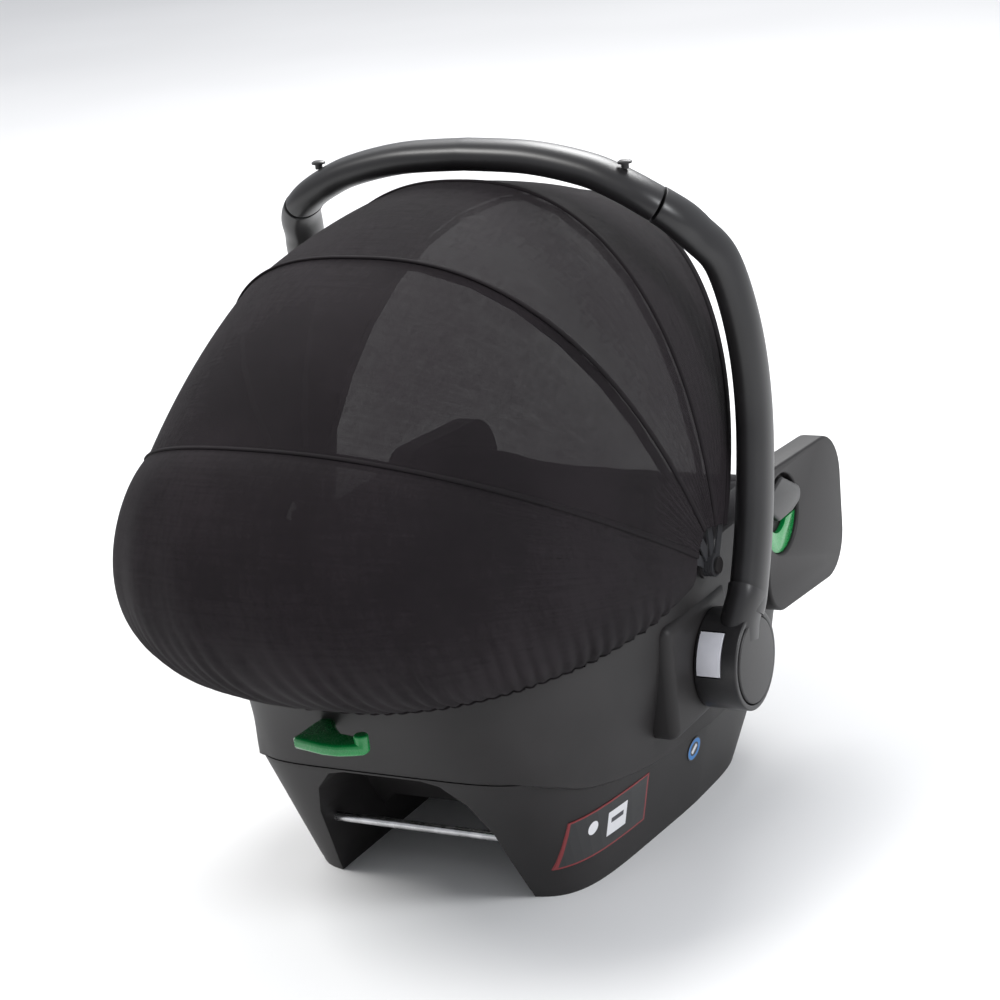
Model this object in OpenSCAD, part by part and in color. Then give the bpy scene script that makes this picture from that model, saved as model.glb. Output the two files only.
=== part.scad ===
// Rear-facing infant car seat with a carrying handle, a folding hood and a belt route.
// +X is across the seat, +Y points to the head end, +Z is up, and z = 0 is the floor under its base.

/* [Shell] */
// Width of the shell across its rim
seat_w = 372; // [320:2:420]
// Length of the shell along its rim
seat_l = 678; // [600:2:760]
// Height of the rim beside the handle pivots
rim_h = 256; // [230:2:300]
// Wall of the shell and of the base
wall = 3; // [2.4:0.2:4]
// Thickness of the foam liner
foam_t = 14; // [10:1:20]
// Thickness of the padded cover
cover_t = 11; // [8:1:14]

/* [Base] */
// Width of the open tunnel between the two rails
tunnel_w = 184; // [150:2:200]
// Height of the arch at the head end
arch_h = 126; // [110:2:130]
// Diameter of the steel latch rods
rod_d = 8; // [6:1:12]

/* [Handle] */
// Height of the handle's bar above its pivots
handle_h = 433; // [410:1:470]
// Distance from the shell's side to the centre of a handle leg
leg_gap = 29; // [28:1:40]
// Wide side of the handle's oval tube
grip_w = 40; // [30:1:44]
// Narrow side of the handle's oval tube
grip_t = 27; // [22:1:30]
// Diameter of the round hubs at the pivots
hub_d = 86; // [76:1:96]
// Diameter of the pivot bolts
bolt_d = 12; // [8:1:16]

/* [Hood] */
// Radius of the front bow at its top
bow_front_r = 318; // [290:1:322]
// Radius of the top bow at its top
bow_top_r = 325; // [300:1:345]
// Radius of the middle bow at its top
bow_mid_r = 356; // [330:1:410]
// Radius of the rear bow at its top
bow_rear_r = 430; // [380:1:460]
// Thickness of the bows
bow_t = 2; // [1.6:0.2:2]
// Width of the bows
bow_w = 9; // [6:1:12]

/* [Harness] */
// Width of the webbing
web_w = 25; // [20:1:30]
// Thickness of the webbing
web_t = 2; // [1.4:0.2:2.4]

/* [Hidden] */

// The lengths in the tables below are those of a shell 372 wide and 678 long; kx and ky stretch them.
kx = seat_w / 372;
ky = seat_l / 678;
kz = rim_h / 256;
centre_y = -19;   // puts the origin under the middle of the overall length
hw = seat_w / 2 + leg_gap;      // from the middle to a handle leg
gap = 0.5;        // clearance between fixed neighbours
run = 0.05;       // radial running clearance on a pin
steps = 56;       // points round a lofted ring

black = "#242224";
fabric = "#2b282c";
green = "#138a3e";

// ---------- outlines shared by the shell, its liner and its cover ----------
mid_y = -60 * ky;                       // where the plan outlines are widest
function power(v, n) = pow(abs(v), 2 / n) * sign(v);
// A plan outline: half-width, head end, foot end, squareness of each end, and taper towards the head.
function outline(p, grow = 0) = [for (i = [0:steps - 1])
    let (a = 360 * i / steps, s = sin(a), n = s >= 0 ? p[3] : p[4],
         reach = s >= 0 ? p[1] * ky - mid_y + grow : mid_y - p[2] * ky + grow,
         y = mid_y + reach * power(s, n),
         thin = 1 - p[5] * max(0, (y - mid_y) / reach))
    [(p[0] * kx + grow) * power(cos(a), n) * thin, y]];
floor_plan = [147, 141, -206, 7, 5, 0.1];
lip_plan = [165, 205, -298, 6, 4, 0.12];
low_plan = [176, 244, -336, 3, 3.6, 0.03];
high_plan = [183, 291, -354, 2.3, 3.4, 0];
rim_plan = [186, 312, -366, 2.15, 3.4, 0];

// Height of the rim, and of the lip where the shell meets the base, along the length.
rim_table = [[-366, 196], [-345, 206], [-320, 222], [-270, 243], [-190, 255], [-60, 256],
             [60, 262], [160, 284], [250, 314], [312, 334]];
lip_table = [[-300, 90], [-180, 82], [-60, 80], [40, 86], [130, 104], [180, 124], [205, 129]];
// The seat's own profile along its middle, on top of the cover.
seat_table = [[-350, 176], [-280, 142], [-200, 112], [-110, 99], [-30, 116], [60, 156],
              [150, 200], [230, 238], [300, 280]];
function rim_z(y) = kz * lookup(y / ky, rim_table);
function lip_z(y) = lookup(y / ky, lip_table);
function seat_z(y) = kz * lookup(y / ky, seat_table);

function lift(ring, z) = [for (p = ring) [p[0], p[1], z]];
function mix(a, b, t) = a + (b - a) * t;
// Rings of the wall, t = 0 at the lip and t = 1 at the rim.
function wall_ring(p, t, grow = 0, up = 0) =
    let (o = outline(p, grow), r = outline(rim_plan, grow), l = outline(lip_plan, grow))
    [for (i = [0:steps - 1]) [o[i][0], o[i][1], mix(lip_z(l[i][1]), rim_z(r[i][1]), t) + up]];

// A bowl: the outline shrunk by s about the seat's middle, s = 0 at the middle and 1 at its edge.
function shrink(ring, s) = [for (p = ring) [p[0] * s, mid_y + (p[1] - mid_y) * s]];
function bowl_ring(plan, grow, s, edge, low, steep = 3.2) =
    let (o = shrink(outline(plan, grow), s), e = outline(plan, grow))
    [for (i = [0:steps - 1]) [o[i][0], o[i][1],
        mix(seat_z(o[i][1]) + low, (edge == 0 ? rim_z(e[i][1]) : lip_z(e[i][1])) + (edge == 0 ? 0 : -4),
            pow(s, steep))]];

// A closed solid through rings of equal length, each end closed on its own middle.
function middle(ring) = let (n = len(ring)) [for (k = [0:2]) [for (p = ring) p[k]] * [for (p = ring) 1] / n];
module ring_solid(rings) {
    n = len(rings[0]);
    m = len(rings);
    points = concat([for (r = rings) each r], [middle(rings[0]), middle(rings[m - 1])]);
    faces = concat(
        [for (j = [0:m - 2]) for (i = [0:n - 1])
            let (a = j * n + i, b = j * n + (i + 1) % n) each [[a, b + n, b], [a, a + n, b + n]]],
        [for (i = [0:n - 1]) [m * n, i, (i + 1) % n]],
        [for (i = [0:n - 1]) [m * n + 1, (m - 1) * n + (i + 1) % n, (m - 1) * n + i]]);
    polyhedron(points, faces, convexity = 10);
}
// A closed sheet between two grids of points, outer and inner.
module sheet_solid(outer, inner) {
    m = len(outer);
    n = len(outer[0]);
    half = m * n;
    points = concat([for (r = outer) each r], [for (r = inner) each r]);
    function at(j, i) = j * n + i;
    faces = concat(
        [for (j = [0:m - 2]) for (i = [0:n - 2]) each [
            [at(j, i), at(j, i + 1), at(j + 1, i + 1)], [at(j, i), at(j + 1, i + 1), at(j + 1, i)],
            [half + at(j, i), half + at(j + 1, i + 1), half + at(j, i + 1)],
            [half + at(j, i), half + at(j + 1, i), half + at(j + 1, i + 1)]]],
        [for (j = [0:m - 2]) each [
            [at(j, 0), at(j + 1, 0), half + at(j + 1, 0)], [at(j, 0), half + at(j + 1, 0), half + at(j, 0)],
            [at(j, n - 1), half + at(j + 1, n - 1), at(j + 1, n - 1)],
            [at(j, n - 1), half + at(j, n - 1), half + at(j + 1, n - 1)]]],
        [for (i = [0:n - 2]) each [
            [at(0, i), half + at(0, i + 1), at(0, i + 1)], [at(0, i), half + at(0, i), half + at(0, i + 1)],
            [at(m - 1, i), at(m - 1, i + 1), half + at(m - 1, i + 1)],
            [at(m - 1, i), half + at(m - 1, i + 1), half + at(m - 1, i)]]]);
    polyhedron(points, faces, convexity = 10);
}

// ---------- sweeps ----------
function unit(v) = v / norm(v);
// A smooth path through points, cuts pieces to each span.
function smooth(p, cuts) = concat([for (i = [0:len(p) - 2]) for (k = [0:cuts - 1])
    let (t = k / cuts, a = p[max(i - 1, 0)], b = p[i], c = p[i + 1], d = p[min(i + 2, len(p) - 1)])
    0.5 * (2 * b + (c - a) * t + (2 * a - 5 * b + 4 * c - d) * t * t + (3 * b - a - 3 * c + d) * t * t * t)],
    [p[len(p) - 1]]);
function heading(p, i) = unit(p[min(i + 1, len(p) - 1)] - p[max(i - 1, 0)]);
// Rings of a section, swept along a path: section x runs along side, and y along up.
function sweep_rings(path, section, side) = [for (i = [0:len(path) - 1])
    let (t = heading(path, i), s = unit(side - (side * t) * t), u = cross(t, s))
    [for (q = section) path[i] + s * q[0] + u * q[1]]];
function oval(w, h, n) = [for (i = [0:n - 1]) [w / 2 * cos(360 * i / n), h / 2 * sin(360 * i / n)]];
function bar(w, h) = [[w / 2, -h / 2], [w / 2, h / 2], [-w / 2, h / 2], [-w / 2, -h / 2]];
function strip(w, h) = [[w / 2, -h / 2], [w / 2, h / 2], [w / 6, h / 2], [-w / 6, h / 2],
                        [-w / 2, h / 2], [-w / 2, -h / 2], [-w / 6, -h / 2], [w / 6, -h / 2]];
module rod_x(d, x0, x1) translate([x0, 0, 0]) rotate([0, 90, 0]) cylinder(d = d, h = x1 - x0, $fn = 48);

// Joins a lofted piece and its cuts into one smooth-sided body, before any bore is drilled in it.
module carved() resize([0, 0, 0]) children();

// Puts a piece made for the right-hand side, +X, on the left as well.
module side(s) {
    if (s > 0) children();
    else mirror([1, 0, 0]) children();
}
module place() translate([0, centre_y, 0]) children();

// ---------- base ----------
// Rings of the base's outside, from the floor up to the lip.
base_levels = [0, 0.14, 0.45, 0.75, 1];
function base_rings(grow, up = 0) = let (f = outline(floor_plan, grow), l = outline(lip_plan, grow))
    [for (t = base_levels) [for (i = [0:steps - 1])
        [mix(f[i][0], l[i][0], t), mix(f[i][1], l[i][1], t), t * (lip_z(l[i][1]) - 1) + up * (1 - t)]]];
function reversed(v) = [for (i = [len(v) - 1:-1:0]) v[i]];
module envelope(grow = 0) ring_solid(base_rings(grow));
module tub() ring_solid(concat(base_rings(0), reversed(base_rings(-wall, wall))));
rail_gap = tunnel_w / 2;
tunnel_h = 50;
module arch(grow) {
    // the tunnel that runs the whole length between the rails
    translate([0, 400, -1]) rotate([90, 0, 0])
        linear_extrude(900) polygon([[-rail_gap - grow, 0], [rail_gap + grow, 0],
            [rail_gap - 6 + grow, tunnel_h - 18], [rail_gap - 24 + grow, tunnel_h + 1 + grow],
            [-rail_gap + 24 - grow, tunnel_h + 1 + grow], [-rail_gap + 6 - grow, tunnel_h - 18]]);
    // the tall arch at the head end, cut back along the slope of the seat
    intersection() {
        translate([0, 400, -1]) rotate([90, 0, 0])
            linear_extrude(900) polygon([[-rail_gap - grow, 0], [rail_gap + grow, 0],
                [rail_gap - 5 + grow, 60], [rail_gap - 10 + grow, 92], [rail_gap - 22 + grow, 112],
                [rail_gap - 42 + grow, arch_h + grow], [42 - rail_gap - grow, arch_h + grow],
                [22 - rail_gap - grow, 112], [10 - rail_gap - grow, 92], [5 - rail_gap - grow, 60]]);
        translate([-200, 0, 0]) rotate([90, 0, 90])
            linear_extrude(400) polygon([[40 * ky, -1], [50 * ky - grow, 50], [205 * ky - 50, arch_h + 12],
                [205 * ky + 60, arch_h + 12], [205 * ky + 60, -1]]);
    }
}
module base_shell() color(black) difference() {
    carved() difference() {
        union() {
            tub();
            intersection() {
                envelope(-wall / 3);
                arch(wall);
            }
        }
        arch(0);
    }
    for (r = [rear_rod, front_rod]) translate([0, r[0], r[1]]) rod_x(rod_d, -rod_l / 2, rod_l / 2);
    feet(9.2, -1, foot_t + 0.1);
}
foot_t = 1.4;
foot_y = [100 * ky, -165 * ky];
foot_x = rail_gap + 22;
// Rubber feet under the rails, let into their floor.
module feet(r, z0, z1) for (x = [-1, 1]) for (y = foot_y)
    translate([x * foot_x, y, z0]) linear_extrude(z1 - z0) hull()
        for (d = [-14, 14]) translate([0, d]) circle(r = r, $fn = 32);
module rubber_feet() color("#1a1a1a") feet(9, 0, foot_t);

rear_rod = [150 * ky, 57];    // distance along the seat and height of each rod
front_rod = [-150 * ky, 36];
rod_l = tunnel_w + 24;
module latch_rod(r) color("silver") translate([0, r[0], r[1]]) rod_x(rod_d, -rod_l / 2, rod_l / 2);
// ---------- bucket ----------
shell_low = -(cover_t + foam_t + 2 * gap + wall + 12);
module outer_shell() color(black) {
    ring_solid(concat(
            [for (s = [0.12, 0.35, 0.6, 0.8, 0.93]) bowl_ring(lip_plan, 0, s, 1, shell_low)],
            [wall_ring(lip_plan, 0, -wall - 1.5), wall_ring(lip_plan, 0), wall_ring(low_plan, 0.35),
             wall_ring(high_plan, 0.7),
             wall_ring(rim_plan, 0.97), wall_ring(rim_plan, 1, -wall / 2),
             wall_ring(rim_plan, 0.97, -wall), wall_ring(high_plan, 0.7, -wall),
             wall_ring(low_plan, 0.35, -wall), wall_ring(lip_plan, 0, -wall, wall)],
            [for (s = [0.93, 0.8, 0.6, 0.35, 0.12]) bowl_ring(lip_plan, -wall, s, 1, shell_low + wall)]));
}
// The liner, the cover and the insert share these steps from the middle to the rim, so they nest.
pad_steps = [0.12, 0.2, 0.35, 0.5, 0.6, 0.7, 0.8, 0.9, 0.97];
foam_in = -wall - gap - 8;
// Foam liner between the shell and the cover.
module foam_liner() color("#d8d6d2") ring_solid(concat(
    [for (s = [0.12, 0.35, 0.6, 0.8, 0.92, 0.98])
        bowl_ring(rim_plan, -wall - gap, s, 0, -cover_t - foam_t - gap, 3.4)],
    [rim_edge(-wall - gap, -1), rim_edge(foam_in, -1)],
    [for (s = reversed(pad_steps)) bowl_ring(rim_plan, foam_in, s, 0, -cover_t - gap)]));
function rim_edge(grow, up) = let (o = outline(rim_plan, grow), r = outline(rim_plan, 0))
    [for (i = [0:steps - 1]) [o[i][0], o[i][1], rim_z(r[i][1]) + up]];

// Padded cover over the foam, with the infant insert lying in its middle.
cover_out = foam_in - gap;
cover_in = cover_out - 9;
module seat_cover() color(fabric) ring_solid(concat(
    [for (s = pad_steps) bowl_ring(rim_plan, cover_out, s, 0, 2 * gap - cover_t)],
    [rim_edge(cover_out, 2), rim_edge(cover_out - 2, 5), rim_edge(cover_in, 3)],
    [for (s = reversed(pad_steps)) bowl_ring(rim_plan, cover_in, s, 0, 0)]));
insert_t = 14;
insert_steps = [0.12, 0.2, 0.35, 0.5];
module infant_insert() color("#3a373b") ring_solid(concat(
    [for (s = insert_steps) bowl_ring(rim_plan, cover_in, s, 0, 1.5)],
    [bowl_ring(rim_plan, cover_in, 0.52, 0, insert_t / 2)],
    [for (s = reversed(insert_steps)) bowl_ring(rim_plan, cover_in, s, 0, insert_t)]));
// Height of the cover's top at a point, and of the insert's top near the middle.
function pad_z(x, y) = let (v = y - mid_y, n = v > 0 ? rim_plan[3] : rim_plan[4],
    reach = (v > 0 ? rim_plan[1] * ky - mid_y : mid_y - rim_plan[2] * ky) + cover_in,
    s = pow(pow(abs(x) / (rim_plan[0] * kx + cover_in), n) + pow(abs(v) / reach, n), 1 / n))
    lookup(s, [for (k = pad_steps) [k, mix(seat_z(mid_y + v * k / s), rim_z(mid_y + v / s), pow(k, 3.2))]]);
function insert_z(x, y, up) = pad_z(x, y) + insert_t + up;

// ---------- belt route and labels ----------
module shell_fill(grow) ring_solid([lift(outline(lip_plan, grow), 40), wall_ring(lip_plan, 0, grow),
    wall_ring(low_plan, 0.35, grow), wall_ring(high_plan, 0.7, grow), wall_ring(rim_plan, 0.97, grow),
    [for (p = outline(rim_plan, grow)) [p[0], p[1], rim_z(p[1]) + 60]]]);
ear_x = seat_w / 2 + 6.5;   // outer face of the belt guides
ear_t = 24;
ear_y = -254 * ky;
module ear_outline() hull() {
    translate([62, 40]) circle(r = 32, $fn = 32);
    translate([-44, 22]) circle(r = 44, $fn = 32);
    translate([-46, -30]) circle(r = 40, $fn = 32);
    translate([58, -26]) circle(r = 36, $fn = 32);
}
// Turns a drawing in (y, z) into a plate from x0 to x1.
module plate_x(x0, x1) translate([x0, 0, 0]) rotate([90, 0, 90]) linear_extrude(x1 - x0) children();
ear_z = rim_h - 56;
slot_at = [54, 26];        // middle of the round belt slot, from the ear's own middle
slot_r = 36;
slot_depth = 8;
module belt_slot() translate([ear_y, ear_z]) translate(slot_at) circle(r = slot_r, $fn = 48);
// The tongue that stands in the slot and holds the belt down.
module belt_tongue() translate([ear_y, ear_z]) hull()
    for (p = [[54, 50, 10], [22, 34, 9], [34, 28, 6], [62, 28, 6], [79, 44, 8]])
        translate([p[0], p[1]]) circle(r = p[2], $fn = 32);
module lap_belt_guide(s) color(black) side(s) carved() difference() {
    plate_x(ear_x - ear_t, ear_x) translate([ear_y, ear_z]) ear_outline();
    shell_fill(gap);
    difference() {
        plate_x(ear_x - slot_depth, ear_x + slot_depth) belt_slot();
        plate_x(ear_x - slot_depth - 2, ear_x - 1) belt_tongue();
    }
}
module guide_insert(s) color(green) side(s)
    plate_x(ear_x - slot_depth, ear_x - 3) translate([ear_y, ear_z])
    difference() {
        translate(slot_at) circle(r = slot_r - gap, $fn = 48);
        translate(slot_at + [4, 6]) circle(r = 22, $fn = 48);
        translate([0, 18]) square([120, 90]);
    }
// The shoulder-belt guide: a flat curved hook on the head end.
hook_z = 182;
hook_y = 262 * ky;
module shoulder_belt_guide() color(green) carved() difference() {
    union() {
        translate([4, hook_y - 8, hook_z - 6]) linear_extrude(12) hull()
            for (p = [[22, 14, 7], [-4, 22, 7], [-32, 14, 6], [22, -20, 6]])
                translate([p[0], p[1]]) circle(r = p[2], $fn = 32);
        translate([-29, hook_y + 7, hook_z - 4]) cylinder(r = 6, h = 16, $fn = 32);
    }
    shell_fill(gap);
}
module side_label() color("#e9e9e9") carved() difference() {
    translate([-seat_w / 2 - 20, 35 * ky, 30]) cube([120, 110, 44]);
    envelope(0.1);
    difference() {
        translate([-seat_w, -100, 0]) cube([seat_w - 40, 500, 200]);
        envelope(1);
    }
}
module round_badge() color("#2f6fb0") carved() difference() {
    translate([-seat_w / 2 - 20, pivot_y, 62]) rotate([0, 90, 0]) cylinder(d = 22, h = 120, $fn = 48);
    envelope(0.1);
    difference() {
        translate([-seat_w, -200, 0]) cube([seat_w - 40, 400, 200]);
        envelope(1);
    }
}

// ---------- handle pivots ----------
pivot_y = -45;
pivot_z = 150;
hub_x0 = seat_w / 2 + 0.6;      // inner face of the turning hub
hub_x1 = hw + 10;
socket_w = 44;                  // the slot that takes an adaptor's tongue
socket_t = 12;
socket_x = seat_w / 2 - 15;
socket_y = -42;
socket_z = 104;
latch_y = socket_y + socket_w;
latch_t = 10;
latch_l = 14;
latch_in = 4;                   // how far a latch reaches into the socket
bracket_x = seat_w / 2 - 36;
module pivot_bracket(s) color(black) side(s) difference() {
    carved() difference() {
        union() {
            translate([bracket_x, -80, socket_z]) cube([seat_w / 2 - bracket_x, 118, 101]);
            translate([0, pivot_y, pivot_z]) rod_x(hub_d - 2, bracket_x, seat_w / 2);
        }
        shell_fill(gap);
        envelope(gap);
        translate([socket_x, socket_y, socket_z - 1]) cube([socket_t, socket_w, 35]);
        translate([socket_x + 1 - gap, latch_y - 1, socket_z + 14 - gap])
            cube([latch_t + 2 * gap, latch_l + 8, latch_t + 2 * gap]);
    }
    translate([0, pivot_y, pivot_z]) rod_x(bolt_d + 2 * run, bracket_x - 1, seat_w / 2 + 1);
}
module latch(s) color("silver") side(s)
    translate([socket_x + 1, latch_y - latch_in, socket_z + 14]) difference() {
        cube([latch_t, latch_l + latch_in, latch_t]);
        translate([-1, 0, -4]) rotate([40, 0, 0]) cube([latch_t + 2, 12, 5]);
    }
cap_t = 5;
module pivot_bolt(s) color("silver") side(s) translate([0, pivot_y, pivot_z]) {
    rod_x(bolt_d, seat_w / 2 - 7, hub_x1 - cap_t - 6);
    rod_x(bolt_d * 1.8, hub_x1 - cap_t - 6, hub_x1 - cap_t - 1);
}
button_a = 25;                 // how far round the hub the button sits, from the head end
button_x = hub_x0 + 3;
button_w = 21;
button_l = 38;
gear_d = 56;
gear_t = 8;
gear_x = hub_x0 + 3;
// Puts a piece drawn about the pivot, out along +Y, at the button's place.
module at_button() translate([0, pivot_y, pivot_z]) rotate([button_a, 0, 0]) children();
module hub(s) color(black) side(s) difference() {
    union() {
        translate([0, pivot_y, pivot_z]) {
            rod_x(hub_d, hub_x0, hub_x1 - 5);
            translate([hub_x1 - 5, 0, 0]) rotate([0, 90, 0]) rotate_extrude($fn = 72)
                polygon([[0, 0], [hub_d / 2, 0], [hub_d / 2 - 1.2, 2.6], [hub_d / 2 - 4, 5], [0, 5]]);
        }
        hull() {
            translate([hw, pivot_y + 2, pivot_z + 26]) scale([1, 1.4, 1]) cylinder(r = 9, h = 2, $fn = 32);
            translate([hw + 1.5, pivot_y - 16, neck_z]) rotate([neck_tilt, 0, 0]) translate([0, 0, -1 - gap])
                scale([grip_t / 2 * leg_grow, grip_w / 2 * leg_grow, 1]) cylinder(r = 1, h = 1, $fn = 32);
        }
    }
    // room for the gear and its spring, and a seat for the cap
    translate([0, pivot_y, pivot_z]) {
        rod_x(gear_d + 6, hub_x0 - 1, hub_x1 - cap_t - 9);
        rod_x(bolt_d + 2 * run, hub_x0, hub_x1);
        rod_x(cap_d + 2 * gap, hub_x1 - cap_t, hub_x1 + 1);
        rod_x(bolt_d * 1.8 + 2, hub_x1 - cap_t - 7, hub_x1);
    }
    at_button() translate([button_x - gap, 10, -button_l / 2 - gap])
        cube([button_w + 2 * gap, hub_d, button_l + 2 * gap]);
}
cap_d = hub_d - 12;
module hub_cap(s) color("#2c2b2c") side(s) translate([0, pivot_y, pivot_z])
    translate([hub_x1 - cap_t, 0, 0]) rotate([0, 90, 0]) rotate_extrude($fn = 72)
        polygon([[0, 0.2], [cap_d / 2, 0.2], [cap_d / 2, cap_t], [cap_d / 2 - 1.5, cap_t + 1.5],
                 [0, cap_t + 2.5]]);
module handle_button(s) color("#d9dade") side(s) at_button() difference() {
    intersection() {
        rod_x(hub_d + 1, button_x, button_x + button_w);
        translate([0, 10, -button_l / 2]) cube([hub_x1, hub_d, button_l]);
    }
    rod_x(hub_d - 9, 0, hub_x1);
}
module lock_gear(s) color("#8b8d90") side(s) translate([gear_x, pivot_y, pivot_z]) rotate([0, 90, 0])
    difference() {
        linear_extrude(gear_t) difference() {
            circle(d = gear_d, $fn = 96);
            for (i = [0:17]) rotate(20 * i) translate([gear_d / 2, 0]) square([7, 4.4], center = true);
        }
        translate([0, 0, -1]) cylinder(d = bolt_d + 2 * run, h = gear_t + 2, $fn = 48);
        translate([0, 0, 5]) cylinder(d = spring_d + 4, h = gear_t, $fn = 48);
    }
spring_d = 24;
spring_wire = 2;
spring_turns = 3.5;
module lock_spring(s) color("silver") side(s) {
    x0 = gear_x + 5 + spring_wire / 2 + 0.1;
    x1 = hub_x1 - cap_t - 9 - spring_wire / 2 - 0.1;
    coil = [for (i = [0:12 * spring_turns]) let (a = 30 * i)
        [mix(x0, x1, i / (12 * spring_turns)),
         pivot_y + spring_d / 2 * cos(a), pivot_z + spring_d / 2 * sin(a)]];
    ring_solid(sweep_rings(coil, oval(spring_wire, spring_wire, 6), [1, 0, 0]));
}

// ---------- handle ----------
neck_z = 208;
hh = handle_h + pivot_z;       // height of the bar
// The right half of the handle's centre line, from the middle of the bar down to the hub.
half_handle = [[0, -42, hh], [60, -42, hh - 3], [110, -42, hh - 13], [hw - 75, -42, hh - 25],
    [hw - 53, -45, hh - 38], [hw - 37, -56, hh - 53], [hw - 26, -74, hh - 73], [hw - 13, -93, hh - 103],
    [hw - 3.5, -103, hh - 163], [hw, -103, hh - 233], [hw + 1.5, -85, 270], [hw + 1.5, pivot_y - 16, neck_z]];
handle_path = smooth(half_handle, 4);
foot_heading = heading(handle_path, len(handle_path) - 1);
neck_tilt = atan2(foot_heading[1], -foot_heading[2]);
joint_at = 17;                 // where the bar ends and the leg begins
function part_of(p, a, b) = [for (i = [a:b]) p[i]];
leg_grow = 1.1;                // how much stouter a leg is at its foot than the bar
handle_rings = let (rings = sweep_rings(handle_path, oval(grip_w, grip_t, 16), [0, 1, 0]))
    [for (i = [0:len(rings) - 1]) let (c = handle_path[i], k = mix(1, leg_grow, i / (len(rings) - 1)))
        [for (p = rings[i]) c + k * (p - c)]];
// The leg starts a hair below the bar's end, on the same plane.
module leg(s) color(black) side(s) ring_solid(concat(
    [mix(handle_rings[joint_at], handle_rings[joint_at + 1], 0.05)],
    part_of(handle_rings, joint_at + 1, len(handle_rings) - 1)));
module handle_grip() color("#1f1e1f") ring_solid(concat(
    [for (i = [joint_at:-1:1]) [for (p = handle_rings[i]) [-p[0], p[1], p[2]]]],
    part_of(handle_rings, 0, joint_at)));
peg_tilt = 25;                 // fall of the bar where the pegs stand
module toy_pegs() color(black) for (x = [-1, 1])
    translate([x * (hw - 78), -42, hh - 23.8]) rotate([0, x * peg_tilt, 0])
    translate([0, 0, grip_t / 2 + 0.6]) {
        cylinder(d = 6, h = 5, $fn = 32);
        translate([0, 0, 4]) cylinder(d = 12, h = 3, $fn = 32);
    }

// ---------- hood ----------
hood_y = -40;
hood_z = rim_h - 21;
pin_d = 8;
eye_d = 20;
stack = 2.3;                   // step between the bows along their pin
eye_x = seat_w / 2 + 3.5;
// Each bow: angle from upright towards the head, radius, place along the pin and squareness.
bow_rear = [61, bow_rear_r, 0, 2.4];
bow_mid = [31.6, bow_mid_r, 1, 2.6];
bow_top = [2.6, bow_top_r, 2, 2.4];
bow_front = [-28, bow_front_r, 3, 2.4];
function bow_half(b) = eye_x + stack * b[2] + bow_t / 2;
// A point of a bow-like arc: t from 0 at the right pivot to 180 at the left one.
function arc_point(angle, r, half, n, t) =
    let (rho = r * power(abs(sin(t)), n))
    [half * power(cos(t), n), hood_y + rho * sin(angle), hood_z + rho * cos(angle)];
module bow(b) {
    half = bow_half(b);
    start = asin(pow((pin_d / 2 + 2) / b[1], b[3] / 2));
    turns = [start, 5, 14, 24, 34, 45, 56, 67, 79, 90];
    path = [for (t = concat(turns, [for (i = [8:-1:0]) 180 - turns[i]]))
        arc_point(b[0], b[1], half, b[3], t)];
    ring_solid(sweep_rings(path, bar(bow_w, bow_t - 0.4), [0, cos(b[0]), -sin(b[0])]));
    for (x = [-1, 1]) translate([x * half, hood_y, hood_z]) rotate([0, 90, 0])
        difference() {
            cylinder(d = eye_d, h = bow_t, center = true, $fn = 48);
            cylinder(d = pin_d + 2 * run, h = 3 * bow_t, center = true, $fn = 48);
        }
}
module hood_pivot(s) color(black) side(s) translate([0, hood_y, hood_z]) {
    x1 = eye_x + 4 * stack + 0.4;
    rod_x(pin_d, seat_w / 2 + 2, x1 + 1);
    rod_x(eye_d + 4, seat_w / 2 + gap, eye_x - 0.3);
    rod_x(14, x1, x1 + 2);
}
cloth = 1.6;
skin = 1.9;                    // clear distance from the bows to the fabric
// One layer of the fabric between two bows, lifted off them by up.
function panel(a, b, up, rows) = [for (j = [0:rows]) let (v = mix(0.02, 0.98, j / rows),
    sag = 4 * sin(180 * v), grow = up + bow_t / 2 + skin) [for (i = [0:20])
    arc_point(mix(a[0], b[0], v), mix(a[1], b[1], v) + grow - sag, bow_half(bow_front) + grow,
              mix(a[3], b[3], v), mix(4, 176, i / 20))]];
module hood_panel(a, b, rows) sheet_solid(panel(a, b, cloth, rows), panel(a, b, 0, rows));
hem_table = [[-40, 234], [-29, 232], [30, 222], [105, 216], [262, 212]];
function hem_point(t, grow) = let (a = mix(6, 174, (t - 4) / 172), half = seat_w / 2 + 3 + grow,
    y = mid_y + (270 * ky - mid_y + grow) * power(abs(sin(a)), 2.4))
    [half * power(cos(a), 2.4), y, lookup(y / ky, hem_table)];
// One layer of the hood's bulging rear panel, from the rear bow to its gathered hem.
function rear_layer(up, rows) = [for (j = [0:rows]) let (v = mix(0.015, 1, j / rows)) [for (i = [0:20])
    let (t = mix(4, 176, i / 20), fit = up + bow_t / 2 + skin, full = power(abs(sin(t)), 1.6),
         p0 = arc_point(bow_rear[0], bow_rear_r + fit, bow_half(bow_front) + fit, 2.4, t),
         p3 = hem_point(t, up), out = unit([p3[0], p3[1] - mid_y, 0]),
         p1 = p0 + full * [0, 74, -18], p2 = p3 + full * (182 * out + [0, 0, 73]),
         w = 1 - v)
    w * w * w * p0 + 3 * w * w * v * p1 + 3 * w * v * v * p2 + v * v * v * p3]];
module hood_rear_panel() color(fabric) sheet_solid(rear_layer(cloth, 9), rear_layer(0, 9));

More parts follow.
